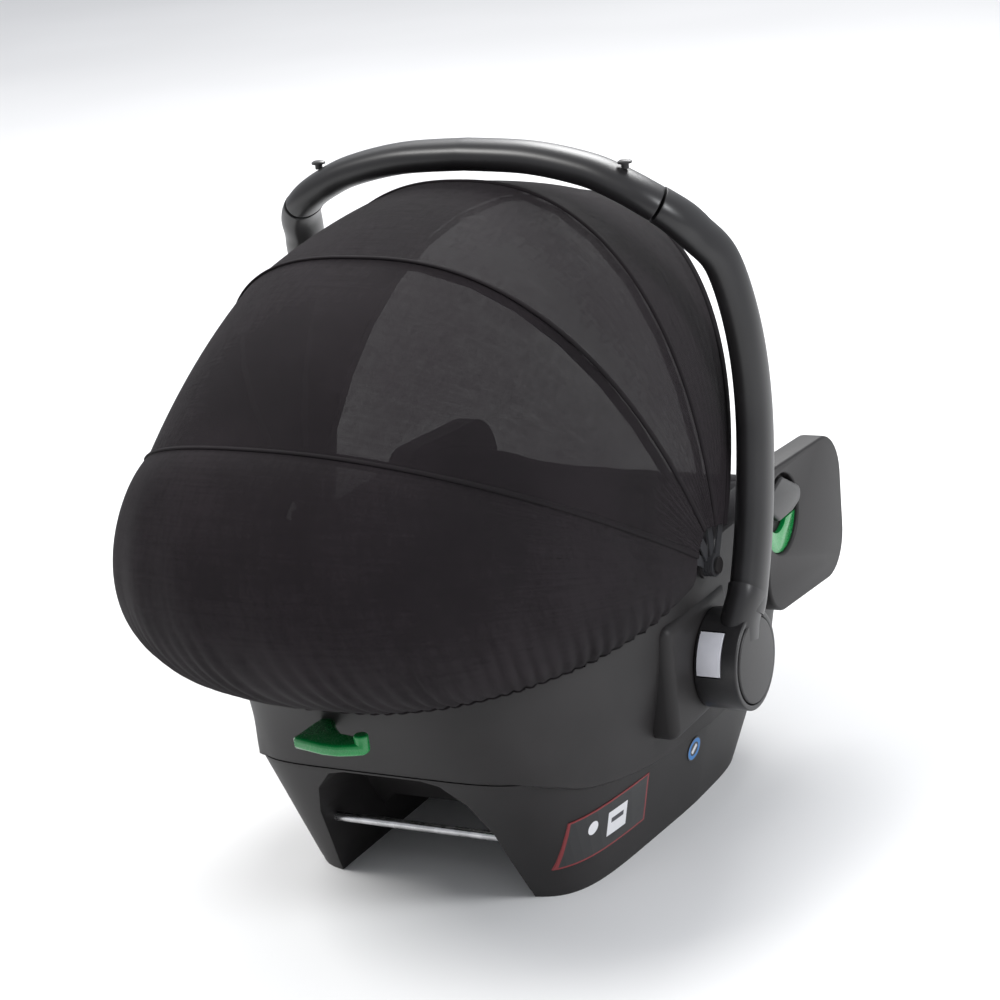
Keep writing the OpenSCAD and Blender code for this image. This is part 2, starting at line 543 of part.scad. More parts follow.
// ---------- harness ----------
// A flat strap that follows the padding: (x, y, height over the insert).
module strap(points, w, t, cuts) {
    path = smooth([for (p = points) [p[0], p[1], insert_z(p[0], p[1], p[2])]], cuts);
    ring_solid(sweep_rings(path, strip(w, t), [1, 0, 0]));
}
buckle = [0, -92];
buckle_z = insert_z(0, -92, 0) + 8;
module buckle_body() color("#b9bbbf") difference() {
    translate([0, buckle[1], buckle_z]) linear_extrude(14) hull() {
        translate([-12, 14]) circle(r = 10, $fn = 32);
        translate([12, 14]) circle(r = 10, $fn = 32);
        translate([0, -20]) circle(r = 10, $fn = 32);
    }
    translate([-9 - gap, buckle[1] - 12 - gap, buckle_z + 8]) cube([18 + 2 * gap, 22 + 2 * gap, 10]);
    translate([-14, buckle[1] + 15, buckle_z + 4]) cube([28, 20, 5]);
}
button_travel = 3;
module buckle_button() color("#b3131b")
    translate([-9, buckle[1] - 12, buckle_z + 8 + button_travel]) cube([18, 22, 4.5]);
module buckle_tongues() color("silver") for (x = [-1, 1]) difference() {
    union() {
        translate([x * 7 - 6, buckle[1] + 16, buckle_z + 5]) cube([12, 14, 3]);
        translate([x * 22 - 16, buckle[1] + 28, buckle_z + 4]) cube([32, 16, 5]);
    }
    translate([x * 22 - 13, buckle[1] + 35, buckle_z]) cube([26, 4, 12]);
}
module harness_strap(s) color("#1c1c1e") side(s)
    strap([[24, -46, 12], [27, -10, 10], [30, 40, 10], [34, 80, 10], [37, 104, 9]], web_w, web_t, 4);
module shoulder_pad(s) color(fabric) side(s) carved() difference() {
    strap([[28.6, 18, 10], [30, 40, 10], [33, 70, 10], [34, 82, 10]], web_w + 22, 11, 4);
    strap([[27, -10, 10], [30, 40, 10], [34, 80, 10], [37, 104, 9]], web_w + 2, web_t + 1.2, 4);
}
module crotch_strap() color("#1c1c1e")
    strap([[0, -150, 3.2], [0, -140, 5], [0, -128, 8], [0, -124, 8.6]], 30, web_t, 3);
module crotch_pad() color(fabric) translate([0, buckle[1], 0]) carved() difference() {
    translate([0, 0, insert_z(0, -92, 0) - 1]) linear_extrude(4.4) hull() {
        translate([-20, 22]) circle(r = 8, $fn = 32);
        translate([20, 22]) circle(r = 8, $fn = 32);
        translate([0, -36]) circle(r = 14, $fn = 32);
    }
    translate([0, -buckle[1], 0]) insert_top();
}
// The space filled by the insert and everything under it.
module insert_top() ring_solid(concat(
    [for (s = [0.1, 0.5]) bowl_ring(rim_plan, cover_in, s, 0, -30)],
    [for (s = [0.5, 0.38, 0.25, 0.1]) bowl_ring(rim_plan, cover_in, s, 0, insert_t + 0.3)]));
// The adjuster lies on the cover, along its slope.
adjuster_y = -262 * ky;
adjuster_rise = pad_z(0, adjuster_y - 17) - pad_z(0, adjuster_y + 17);
adjuster_tilt = atan(adjuster_rise / 34);
module at_adjuster() translate([0, adjuster_y, pad_z(0, adjuster_y) + 2.5]) rotate([-adjuster_tilt, 0, 0])
    children();
module adjuster_housing() color("#303033") at_adjuster() difference() {
    translate([-web_w / 2 - 9, -19, 0]) cube([web_w + 18, 38, 15]);
    translate([-14 - gap, -10 - gap, 7]) cube([28 + 2 * gap, 20 + 2 * gap, 10]);
    translate([-web_w / 2 - 1, -20, 1.5]) cube([web_w + 2, 14, 4]);
}
module adjuster_button() color("#9a9ca0") at_adjuster() translate([-14, -10, 8 + button_travel])
    cube([28, 20, 5]);
module adjuster_strap() color("#1c1c1e") at_adjuster()
    ring_solid(sweep_rings(smooth([[0, -8, 3.5], [0, -20, 3.5], [0, -34, 6], [0, -46, 16], [0, -50, 28]], 4),
                           strip(web_w, web_t), [1, 0, 0]));

// ---------- headrest ----------
slope = 39.5;                  // rise of the back where the headrest slides
rest_half = 78;
rest_t = 20;
rest_l = 96;
rest_y = 122 * ky;
module headrest() color("#322f33") {
    outer = [for (j = [0:6]) rest_row(j / 6, 0)];
    inner = [for (j = [0:6]) rest_row(j / 6, rest_t * (0.75 + 0.25 * sin(30 * j)))];
    sheet_solid(outer, inner);
}
function rest_row(v, in) = [for (i = [0:16]) let (a = mix(-96, 96, i / 16), r = 1 - in / rest_half,
    x = rest_half * r * sin(a), up = 14 + rest_half * 0.9 * (1 - r * cos(a)), along = v * rest_l)
    [x, rest_y + along * cos(slope) - up * sin(slope) * 0.2,
     insert_z(0, rest_y, -insert_t) + along * sin(slope) + up]];

// ---------- release for the adaptors ----------
release_y = -349 * ky;
release_z = 150;
release_pull = 12;
module release_bezel() color("#2b2a2b") carved() difference() {
    translate([-50, release_y - 8, release_z - 17]) cube([100, 30, 34]);
    shell_fill(gap);
    translate([-42, release_y - 20, release_z - 10]) cube([84, 40, 20]);
}
module release_handle() color("#3c3c40") carved() difference() {
    translate([-42 + gap, release_y - 10, release_z - 10 + gap]) cube([84 - 2 * gap, 12, 20 - 2 * gap]);
    shell_fill(gap);
    translate([-34, release_y - 4, release_z - 20]) cube([68, 20, 40]);
}

place() base_shell();
place() rubber_feet();
place() outer_shell();
place() foam_liner();
place() seat_cover();
place() infant_insert();
place() latch_rod(rear_rod);  // rear_latch_rod
place() latch_rod(front_rod);  // front_latch_rod
place() pivot_bracket(-1);  // pivot_bracket_left
place() pivot_bracket(1);  // pivot_bracket_right
place() pivot_bolt(-1);  // pivot_bolt_left
place() pivot_bolt(1);  // pivot_bolt_right
place() lock_gear(-1);  // lock_gear_left
place() lock_gear(1);  // lock_gear_right
place() lock_spring(-1);  // lock_spring_left
place() lock_spring(1);  // lock_spring_right
place() lap_belt_guide(-1);  // lap_belt_guide_left
place() lap_belt_guide(1);  // lap_belt_guide_right
place() guide_insert(-1);  // guide_insert_left
place() guide_insert(1);  // guide_insert_right
place() shoulder_belt_guide();
place() side_label();
place() round_badge();
place() hood_pivot(-1);  // hood_pivot_left
place() hood_pivot(1);  // hood_pivot_right
place() color("#3a3a3d") bow(bow_rear);  // rear_bow
place() hood_rear_panel();
place() buckle_body();
place() buckle_tongues();
place() crotch_strap();
place() crotch_pad();
place() harness_strap(-1);  // harness_strap_left
place() harness_strap(1);  // harness_strap_right
place() shoulder_pad(-1);  // shoulder_pad_left
place() shoulder_pad(1);  // shoulder_pad_right
place() adjuster_housing();
place() adjuster_strap();
place() release_bezel();
place() leg(-1);  // handle_leg_left
place() leg(1);  // handle_leg_right
place() handle_grip();
place() toy_pegs();
place() hub(-1);  // hub_left
place() hub(1);  // hub_right
place() hub_cap(-1);  // hub_cap_left
place() hub_cap(1);  // hub_cap_right
place() handle_button(-1);  // handle_button_left
place() handle_button(1);  // handle_button_right
place() color("#3a3a3d") bow(bow_mid);  // middle_bow
place() color(fabric) hood_panel(bow_mid, bow_rear, 6);  // hood_middle_panel
place() color("#3a3a3d") bow(bow_top);  // top_bow
place() color(fabric) hood_panel(bow_top, bow_mid, 6);  // hood_top_panel
place() color("#3a3a3d") bow(bow_front);  // front_bow
place() color(fabric) hood_panel(bow_front, bow_top, 6);  // hood_front_panel
place() headrest();
place() buckle_button();
place() adjuster_button();
place() release_handle();
place() latch(-1);  // latch_left
place() latch(1);  // latch_right
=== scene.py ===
import math

import bpy
from mathutils import Matrix, Vector


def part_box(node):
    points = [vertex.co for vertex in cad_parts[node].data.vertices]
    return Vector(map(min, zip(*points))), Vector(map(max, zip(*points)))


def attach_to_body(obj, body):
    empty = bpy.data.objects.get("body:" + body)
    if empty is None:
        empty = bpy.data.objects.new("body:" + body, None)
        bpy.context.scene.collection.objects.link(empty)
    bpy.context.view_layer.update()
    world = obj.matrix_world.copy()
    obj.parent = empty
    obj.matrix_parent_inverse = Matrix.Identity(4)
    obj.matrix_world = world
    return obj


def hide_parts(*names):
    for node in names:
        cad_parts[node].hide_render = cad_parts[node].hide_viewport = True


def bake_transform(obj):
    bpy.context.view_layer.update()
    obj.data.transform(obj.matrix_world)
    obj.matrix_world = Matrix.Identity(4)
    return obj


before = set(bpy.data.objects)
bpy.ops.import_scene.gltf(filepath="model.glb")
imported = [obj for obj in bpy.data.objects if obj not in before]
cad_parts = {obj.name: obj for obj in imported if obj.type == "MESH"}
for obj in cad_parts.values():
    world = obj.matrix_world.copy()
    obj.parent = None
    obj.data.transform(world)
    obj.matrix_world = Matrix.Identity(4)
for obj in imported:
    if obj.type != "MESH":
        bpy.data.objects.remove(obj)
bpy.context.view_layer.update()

bl_info = {
    "name": "Infant car seat",
    "version": (1, 0, 0),
    "blender": (4, 5, 0),
    "location": "View3D > Sidebar > Car seat",
    "description": "Shells, hood, padding and harness of an infant car seat round its packed frame",
    "category": "Mesh",
}

MM = 0.001


def middle_of(node):
    """Centre of a CAD node's box."""
    low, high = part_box(node)
    return (Vector(low) + Vector(high)) / 2


# Lengths below are in millimetres in the seat's own frame, where the rear rod lies 150 mm behind its zero.
REAR_ROD = middle_of("rear_latch_rod")
SHIFT = REAR_ROD.y - 150 * MM


def place(x, y, z):
    """A point of the seat's frame, in metres in the row's frame."""
    return Vector((x * MM, y * MM + SHIFT, z * MM))


def seat_y(y):
    """A y of the row's frame, in the seat's own millimetres."""
    return (y - SHIFT) / MM


# ---------------------------------------------------------------- outlines shared by the shells and pads
MID_Y = -60
RIM_TABLE = [(-366, 196), (-345, 206), (-320, 222), (-270, 243), (-190, 255), (-60, 256),
             (60, 262), (160, 284), (250, 314), (312, 334)]
LIP_TABLE = [(-300, 90), (-180, 82), (-60, 80), (40, 86), (130, 104), (180, 124), (205, 129)]
SEAT_TABLE = [(-350, 176), (-280, 142), (-200, 112), (-110, 99), (-30, 116), (60, 156),
              (150, 200), (230, 238), (300, 280)]
# half-width, head end, foot end, squareness of each end, taper towards the head
FLOOR = (147, 141, -206, 7, 5, 0.1)
LIP = (165, 205, -298, 6, 4, 0.12)
LOW = (176, 244, -336, 3, 3.6, 0.03)
HIGH = (183, 291, -354, 2.3, 3.4, 0)
RIM = (186, 312, -366, 2.15, 3.4, 0)
PAD_IN = 21       # how far the padded bowl ends inside the rim
BOWL_STEEP = 3.2  # how late the bowl's sides rise to the rim
INSERT_TOP = 14   # height of the infant insert's top over the bowl


def mix(a, b, t):
    """A value between two, at a share from 0 to 1."""
    return a + (b - a) * t


def smooth_step(t):
    """A share from 0 to 1 that starts and ends softly."""
    t = min(max(t, 0), 1)
    return t * t * (3 - 2 * t)


def read(table, at):
    """A table's value at a place, on a smooth curve through its rows."""
    if at <= table[0][0]:
        return table[0][1]
    if at >= table[-1][0]:
        return table[-1][1]
    i = max(k for k, row in enumerate(table) if row[0] <= at)
    (x0, y0), (x1, y1) = table[i], table[i + 1]
    slope = lambda k: ((table[min(k + 1, len(table) - 1)][1] - table[max(k - 1, 0)][1])
                       / (table[min(k + 1, len(table) - 1)][0] - table[max(k - 1, 0)][0]))
    t, span = (at - x0) / (x1 - x0), x1 - x0
    return ((2 * t**3 - 3 * t * t + 1) * y0 + (t**3 - 2 * t * t + t) * span * slope(i)
            + (3 * t * t - 2 * t**3) * y1 + (t**3 - t * t) * span * slope(i + 1))


def power(value, n):
    """A sine or cosine raised so that its round outline has the squareness n."""
    return math.copysign(abs(value) ** (2 / n), value)


def outline(plan, grow, turn):
    """A point of a plan outline; turn runs from 0 to 1 round it, from the +X side over the head end."""
    half, head, foot, head_n, foot_n, taper = plan
    c, s = math.cos(math.tau * turn), math.sin(math.tau * turn)
    n = head_n if s >= 0 else foot_n
    reach = head - MID_Y + grow if s >= 0 else MID_Y - foot + grow
    y = MID_Y + reach * power(s, n)
    return (half + grow) * power(c, n) * (1 - taper * max(0, (y - MID_Y) / reach)), y


def even_turns(plan, count):
    """Turns that step round an outline in equal lengths."""
    fine = 1600
    points = [outline(plan, 0, i / fine) for i in range(fine + 1)]
    along = [0]
    for a, b in zip(points, points[1:]):
        along.append(along[-1] + math.dist(a, b))
    turns, k = [], 0
    for j in range(count):
        goal = along[-1] * j / count
        while along[k + 1] < goal:
            k += 1
        turns.append((k + (goal - along[k]) / (along[k + 1] - along[k])) / fine)
    return turns


def wall_point(turn, t, grow=0):
    """A point of the shell's outside; t is 0 at the lip over the base and 1 at the rim."""
    keys = [(0, LIP), (0.35, LOW), (0.7, HIGH), (1, RIM)]
    points = [outline(plan, grow, turn) for _, plan in keys]
    x = read([(k, p[0]) for (k, _), p in zip(keys, points)], t)
    y = read([(k, p[1]) for (k, _), p in zip(keys, points)], t)
    lip_y, rim_y = points[0][1], points[3][1]
    return x, y, mix(read(LIP_TABLE, lip_y), read(RIM_TABLE, rim_y), t)


def bowl_point(turn, s):
    """A point of the padded bowl; s is 0 at its middle and 1 at its edge."""
    x, y = outline(RIM, -PAD_IN, turn)
    px, py = x * s, MID_Y + (y - MID_Y) * s
    return px, py, mix(read(SEAT_TABLE, py), read(RIM_TABLE, y), s**BOWL_STEEP)


def pad_height(x, y):
    """Height of the bowl's top at a place in plan."""
    end = RIM[1] if y > MID_Y else RIM[2]
    s = math.hypot(x / (RIM[0] - PAD_IN), (y - MID_Y) / (abs(end - MID_Y) - PAD_IN))
    return mix(read(SEAT_TABLE, y), read(RIM_TABLE, end), s**BOWL_STEEP)


FINISH = {}  # every finish by name, filled by finishes()


# ---------------------------------------------------------------- mesh helpers
def deselect():
    """Leaves edit mode and picks nothing."""
    if bpy.context.object and bpy.context.object.mode != "OBJECT":
        bpy.ops.object.mode_set(mode="OBJECT")
    bpy.ops.object.select_all(action="DESELECT")


def pick(piece):
    """Picks one piece alone."""
    deselect()
    piece.select_set(True)
    bpy.context.view_layer.objects.active = piece


def open_mesh(piece):
    """Opens a piece in edit mode with all of it picked."""
    pick(piece)
    bpy.ops.object.mode_set(mode="EDIT")
    bpy.ops.mesh.select_all(action="SELECT")


def added(name):
    """Names the object that was just added, and its data."""
    piece = bpy.context.object
    piece.name = piece.data.name = name
    return piece


def modify(piece, kind, **settings):
    """Adds a modifier, sets it and applies it."""
    pick(piece)
    bpy.ops.object.modifier_add(type=kind)
    modifier = piece.modifiers[-1]
    for key, value in settings.items():
        setattr(modifier, key, value)
    bpy.ops.object.modifier_apply(modifier=modifier.name)


def soften(piece, width, segments, angle=50):
    """Rounds the edges that are sharper than an angle, over a width in millimetres."""
    modify(piece, "BEVEL", width=width * MM, segments=segments, limit_method="ANGLE",
           angle_limit=math.radians(angle))


def settle(piece):
    """Moves a piece's place into its mesh."""
    pick(piece)
    bpy.ops.object.transform_apply(location=True, rotation=True, scale=True)


def clean(piece, close=False):
    """Merges doubles, closes open rims if asked, and turns the faces outwards."""
    open_mesh(piece)
    bpy.ops.mesh.remove_doubles(threshold=0.02 * MM)
    if close:
        bpy.ops.mesh.select_all(action="DESELECT")
        bpy.ops.mesh.select_mode(type="EDGE")
        bpy.ops.mesh.select_non_manifold()
        bpy.ops.mesh.fill_holes(sides=0)
        bpy.ops.mesh.select_all(action="SELECT")
    bpy.ops.mesh.normals_make_consistent(inside=False)
    bpy.ops.object.mode_set(mode="OBJECT")


def flip(piece):
    """Turns every face of a piece over."""
    open_mesh(piece)
    bpy.ops.mesh.flip_normals()
    bpy.ops.object.mode_set(mode="OBJECT")


def outwards(piece):
    """Turns an open surface's faces away from its middle."""
    centre = sum((face.center for face in piece.data.polygons), Vector()) / len(piece.data.polygons)
    if sum(face.normal.dot(face.center - centre) * face.area for face in piece.data.polygons) < 0:
        flip(piece)


def push_out(push):
    """In edit mode: extrudes the whole mesh by a vector, turns its faces outwards and leaves."""
    bpy.ops.mesh.select_all(action="SELECT")
    bpy.ops.mesh.extrude_region_move(TRANSFORM_OT_translate={"value": push})
    bpy.ops.mesh.select_all(action="SELECT")
    bpy.ops.mesh.normals_make_consistent(inside=False)
    bpy.ops.object.mode_set(mode="OBJECT")


def open_end(piece, axis):
    """Opens a piece in edit mode with only the faces that look along an axis picked."""
    pick(piece)
    bpy.ops.object.mode_set(mode="EDIT")
    bpy.ops.mesh.select_mode(type="FACE")
    bpy.ops.mesh.select_all(action="DESELECT")
    bpy.ops.object.mode_set(mode="OBJECT")
    for face in piece.data.polygons:
        face.select = face.normal.dot(axis) > 0.9
    bpy.ops.object.mode_set(mode="EDIT")


def sheet_of(name, columns, rows, shape):
    """A grid laid over a surface: shape gives the point, in metres, for each (u, v) from 0 to 1."""
    deselect()
    bpy.ops.mesh.primitive_grid_add(x_subdivisions=columns, y_subdivisions=rows, size=1)
    piece = added(name)
    for vertex in piece.data.vertices:
        vertex.co = shape(vertex.co.x + 0.5, vertex.co.y + 0.5)
    return piece


def tube(name, path, section, columns, level=Vector((0, 1, 0))):
    """A tube along a smooth path; section gives (side, up) in metres, and level is where its side points."""
    last = len(path) - 1

    def shape(u, v):
        i = min(int(round(v * last)), last)
        ahead = (path[min(i + 1, last)] - path[max(i - 1, 0)]).normalized()
        side = level - ahead * ahead.dot(level)
        side.normalize()
        across, up = section(u)
        return path[i] + side * across + ahead.cross(side) * up

    piece = sheet_of(name, columns, last, shape)
    clean(piece, close=True)
    return piece


def round_section(width, height, n):
    """An oval of squareness n, as a function of a turn from 0 to 1."""
    return lambda u: (width / 2 * power(math.cos(math.tau * u), n),
                      height / 2 * power(math.sin(math.tau * u), n))


def curve_through(points, cuts):
    """A smooth path through points."""
    path = []
    for i in range(len(points) - 1):
        a, b, c, d = (points[max(i - 1, 0)], points[i], points[i + 1], points[min(i + 2, len(points) - 1)])
        for k in range(cuts):
            t = k / cuts
            path.append(0.5 * (2 * b + (c - a) * t + (2 * a - 5 * b + 4 * c - d) * t * t
                               + (3 * b - a - 3 * c + d) * t**3))
    return path + [points[-1]]


def plate(name, circles, x0, x1):
    """A plate in the (y, z) plane round several circles (y, z, radius), from x0 to x1."""
    deselect()
    for y, z, radius in circles:
        bpy.ops.mesh.primitive_circle_add(vertices=40, radius=radius * MM, location=place(x0, y, z),
                                          rotation=(0, math.pi / 2, 0))
        bpy.context.object.select_set(True)
    rings = [o for o in bpy.data.objects if o.type == "MESH" and o.name.startswith("Circle")]
    deselect()
    for ring in rings:
        ring.select_set(True)
    bpy.context.view_layer.objects.active = rings[0]
    bpy.ops.object.join()
    piece = added(name)
    settle(piece)
    open_mesh(piece)
    bpy.ops.mesh.convex_hull()
    bpy.ops.mesh.dissolve_limited(angle_limit=math.radians(0.5))
    push_out(((x1 - x0) * MM, 0, 0))
    return piece


def block(name, low, high):
    """A box between two corners of the seat's frame."""
    deselect()
    a, b = place(*low), place(*high)
    bpy.ops.mesh.primitive_cube_add(size=1, location=(a + b) / 2, scale=b - a)
    piece = added(name)
    settle(piece)
    return piece


def prism(name, corners, push):
    """A prism: an outline of corners, extruded by a vector."""
    deselect()
    bpy.ops.mesh.primitive_circle_add(vertices=len(corners), radius=1, fill_type="NGON")
    piece = added(name)
    for vertex, corner in zip(piece.data.vertices, corners):
        vertex.co = corner
    bpy.ops.object.mode_set(mode="EDIT")
    push_out(push)
    return piece


def turned(piece, angle, y, z):
    """Turns a piece about an axis along X."""
    pick(piece)
    bpy.ops.transform.rotate(value=angle, orient_axis="X", orient_type="GLOBAL",
                             center_override=place(200, y, z))
    settle(piece)
    return piece


def drum(name, radius, x0, x1, y, z, vertices=96):
    """A cylinder along X."""
    deselect()
    bpy.ops.mesh.primitive_cylinder_add(vertices=vertices, radius=radius * MM, depth=abs(x1 - x0) * MM,
                                        location=place((x0 + x1) / 2, y, z), rotation=(0, math.pi / 2, 0))
    piece = added(name)
    settle(piece)
    return piece


def pillar(name, radius, depth, centre, vertices):
    """A cylinder along Z, in millimetres, round a place in metres."""
    deselect()
    bpy.ops.mesh.primitive_cylinder_add(vertices=vertices, radius=radius * MM, depth=depth * MM,
                                        location=centre)
    piece = added(name)
    settle(piece)
    return piece


def cut(piece, cutter, operation="DIFFERENCE"):
    """Cuts one piece with another, and removes the cutter."""
    modify(piece, "BOOLEAN", object=cutter, operation=operation, solver="EXACT")
    bpy.data.objects.remove(cutter)


def smooth(piece, angle=35):
    """Shades a piece smooth, apart from edges sharper than an angle."""
    pick(piece)
    bpy.ops.object.shade_smooth_by_angle(angle=math.radians(angle), keep_sharp_edges=False)


def mirrored(piece, name):
    """A copy of a piece for the other side of the seat."""
    pick(piece)
    bpy.ops.object.duplicate()
    twin = added(name)
    bpy.ops.transform.mirror(constraint_axis=(True, False, False), orient_type="GLOBAL")
    settle(twin)
    clean(twin)
    return twin


def inflate(piece, pressure, cap, voxel):
    """Fills a pad with air by cloth simulation, and caps how far it may swell, in millimetres."""
    modify(piece, "REMESH", mode="VOXEL", voxel_size=voxel * MM)
    rest = [vertex.co.copy() for vertex in piece.data.vertices]
    pick(piece)
    bpy.ops.object.modifier_add(type="CLOTH")
    cloth = piece.modifiers[-1]
    cloth.settings.use_pressure = True
    cloth.settings.uniform_pressure_force = pressure
    cloth.settings.effector_weights.gravity = 0
    cloth.point_cache.frame_end = 20
    for step in range(1, 21):
        bpy.context.scene.frame_set(step)
    bpy.ops.object.modifier_apply(modifier=cloth.name)
    bpy.context.scene.frame_set(1)
    for vertex, start in zip(piece.data.vertices, rest):
        move = vertex.co - start
        if move.length > cap * MM:
            vertex.co = start + move * (cap * MM / move.length)
    modify(piece, "SMOOTH", factor=0.5, iterations=4)
    modify(piece, "SUBSURF", levels=1, render_levels=1)
    smooth(piece, 180)


def paint(piece, finish):
    """Gives a piece one finish."""
    piece.data.materials.clear()
    piece.data.materials.append(FINISH[finish])


def attach(piece, body, finish, *nodes, slot=None):
    """Gives a piece its finish, ties it to the body named when body is a string (other bodies leave it
    unparented, its place baked in), and hides the CAD nodes it stands for; slot is not used.
    """
    paint(piece, finish)
    if isinstance(body, str):
        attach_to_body(piece, body)
    else:
        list(body)
        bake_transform(piece)
    slot or finish
    if nodes:
        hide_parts(*nodes)
    return piece


# ---------------------------------------------------------------- finishes
class Signal:
    """A number from a shader socket: arithmetic on it adds Math nodes."""

    def __init__(self, tree, socket):
        self.tree, self.socket = tree, socket

    def math(self, operation, *values):
        node = self.tree.nodes.new("ShaderNodeMath")
        node.operation = operation
        for socket, value in zip(node.inputs, values):
            if isinstance(value, Signal):
                self.tree.links.new(value.socket, socket)
            else:
                socket.default_value = value
        return Signal(self.tree, node.outputs[0])

    def __add__(self, other):
        return self.math("ADD", self, other)

    __radd__ = __add__

    def __sub__(self, other):
        return self.math("SUBTRACT", self, other)

    def __rsub__(self, other):
        return self.math("SUBTRACT", other, self)

    def __mul__(self, other):
        return self.math("MULTIPLY", self, other)

    def __lt__(self, other):
        return self.math("LESS_THAN", self, other)

    def __gt__(self, other):
        return self.math("GREATER_THAN", self, other)

    def __abs__(self):
        return self.math("ABSOLUTE", self)

    def wave(self):
        return self.math("SINE", self)


class Finish:
    """A material built round one Principled shader."""

    def __init__(self, name, color, roughness, **constants):
        self.material = bpy.data.materials.new(name)
        self.material.use_nodes = True
        self.tree = self.material.node_tree
        self.shader = self.tree.nodes["Principled BSDF"]
        self.shader.inputs["Base Color"].default_value = (*color, 1)
        self.shader.inputs["Roughness"].default_value = roughness
        for socket, value in constants.items():
            self.shader.inputs[socket.replace("_", " ")].default_value = value

    def node(self, kind, settings=None, **values):
        """Adds any node: its settings first, and then the values or links of its sockets."""
        node = self.tree.nodes.new("ShaderNode" + kind)
        for key, value in (settings or {}).items():
            setattr(node, key, value)
        for key, value in values.items():
            socket = node.inputs[key.replace("_", " ")]
            if isinstance(value, Signal):
                self.tree.links.new(value.socket, socket)
            else:
                socket.default_value = value
        return node

    def out(self, node, name=0):
        return Signal(self.tree, node.outputs[name])

    def where(self, coordinates="Object", scale=(1, 1, 1)):
        """Places on the piece, stretched by a Mapping node."""
        source = self.out(self.node("TexCoord"), coordinates)
        return self.out(self.node("Mapping", Vector=source, Scale=scale))

    def parts(self, vector):
        node = self.node("SeparateXYZ", Vector=vector)
        return [self.out(node, axis) for axis in "XYZ"]

    def noise(self, scale, detail=3, stretch=(1, 1, 1), coordinates="Object"):
        node = self.node("TexNoise", Vector=self.where(coordinates, stretch), Scale=scale, Detail=detail)
        return self.out(node, "Fac")

    def cells(self, scale):
        return self.out(self.node("TexVoronoi", Vector=self.where(), Scale=scale), "Distance")

    def ramp(self, value, low, high, to_low=0.0, to_high=1.0):
        """A value carried softly from one range to another."""
        node = self.node("MapRange", {"interpolation_type": "SMOOTHSTEP"}, Value=value, From_Min=low,
                         From_Max=high, To_Min=to_low, To_Max=to_high)
        return self.out(node)

    def blend(self, mask, first, second):
        """A colour between two, by a mask; each is a colour or the result of another blend."""
        node = self.tree.nodes.new("ShaderNodeMix")
        node.data_type = "RGBA"
        self.tree.links.new(mask.socket, node.inputs["Factor"])
        for socket, value in ((node.inputs[6], first), (node.inputs[7], second)):
            if isinstance(value, Signal):
                self.tree.links.new(value.socket, socket)
            else:
                socket.default_value = (*value, 1)
        return self.out(node, 2)

    def feed(self, socket, value):
        self.tree.links.new(value.socket, self.shader.inputs[socket])

    def bump(self, height, strength, distance):
        node = self.node("Bump", Height=height, Strength=strength, Distance=distance)
        self.feed("Normal", self.out(node, "Normal"))


def shade(color, factor):
    """A colour made lighter or darker."""
    return tuple(min(1, channel * factor) for channel in color)


def moulded(name, color, roughness, grain=1500, depth=0.00012, **constants):
    """Moulded plastic: a fine spark-eroded grain, faint flow clouds and rubbed patches."""
    finish = Finish(name, color, roughness, **constants)
    clouds, specks = finish.noise(14, 4), finish.noise(grain, 2)
    mask = finish.ramp(clouds, 0.35, 0.7)
    finish.feed("Base Color", finish.blend(mask, shade(color, 0.86), shade(color, 1.16)))
    finish.feed("Roughness", roughness + (clouds - 0.5) * 0.12 + (specks - 0.5) * 0.10)
    finish.bump(specks, 0.45, depth)
    return finish.material


def woven(name, color, across, along, alpha=None):
    """Plain-woven cloth on the piece's own UV map, with across and along threads over it; its colour varies
    at random in clouds and slubs, with a painted highlight on the raised thread crossings.
    """
    finish = Finish(name, color, 0.88, Sheen_Weight=0.03, Sheen_Roughness=0.4, Specular_IOR_Level=0.12)
    u, v, _ = finish.parts(finish.where("UV"))
    warp, weft = (u * (across * math.pi)).wave(), (v * (along * math.pi)).wave()
    threads = warp * weft
    slubs = (finish.noise(3, 4, (across / 30, 4, 1), "UV") * 0.5
             + finish.noise(3, 4, (5, along / 30, 1), "UV") * 0.5)
    cloud = finish.noise(9, 3)
    # Painted highlight and shade: threads lightens the colour where the crossings stand up in the bump below
    # and darkens it between them; slubs and cloud are random tone.
    tone = finish.ramp(slubs * 0.35 + cloud * 0.65 + threads * 0.12, 0.3, 0.75)
    finish.feed("Base Color", finish.blend(tone, shade(color, 0.72), shade(color, 1.38)))
    finish.feed("Roughness", 0.84 + threads * 0.08)
    finish.bump(threads * 0.6 + slubs * 0.8, 0.5, 0.0002)
    if alpha:
        thin = finish.ramp(slubs * 0.6 + cloud * 0.4, 0.3, 0.7, alpha[0], alpha[1])
        finish.feed("Alpha", thin + abs(threads) * 0.02)
    return finish.material


def knitted(name, color, pile=1.0):
    """Padded jersey: fine loops, soft creases and a little pilling; its colour holds painted shade in the
    hollows of the loops and creases and a painted highlight on their ridges.
    """
    finish = Finish(name, color, 0.92, Sheen_Weight=0.08, Sheen_Roughness=0.45, Specular_IOR_Level=0.15)
    loops, creases = finish.noise(1700, 2), finish.noise(38, 5)
    pills = finish.ramp(finish.cells(260), 0.05, 0.3)
    # Painted shade and highlight: the colour darkens where the loops and creases dip and lightens where they
    # rise, following the bump below.
    mask = finish.ramp(loops * 0.35 + creases * 0.65, 0.32, 0.7)
    finish.feed("Base Color", finish.blend(mask, shade(color, 0.75), shade(color, 1.35)))
    finish.feed("Roughness", 0.86 + loops * 0.12)
    finish.bump(loops * 0.5 + creases * 0.9 + pills * 0.15, 0.5, 0.0006 * pile)
    return finish.material


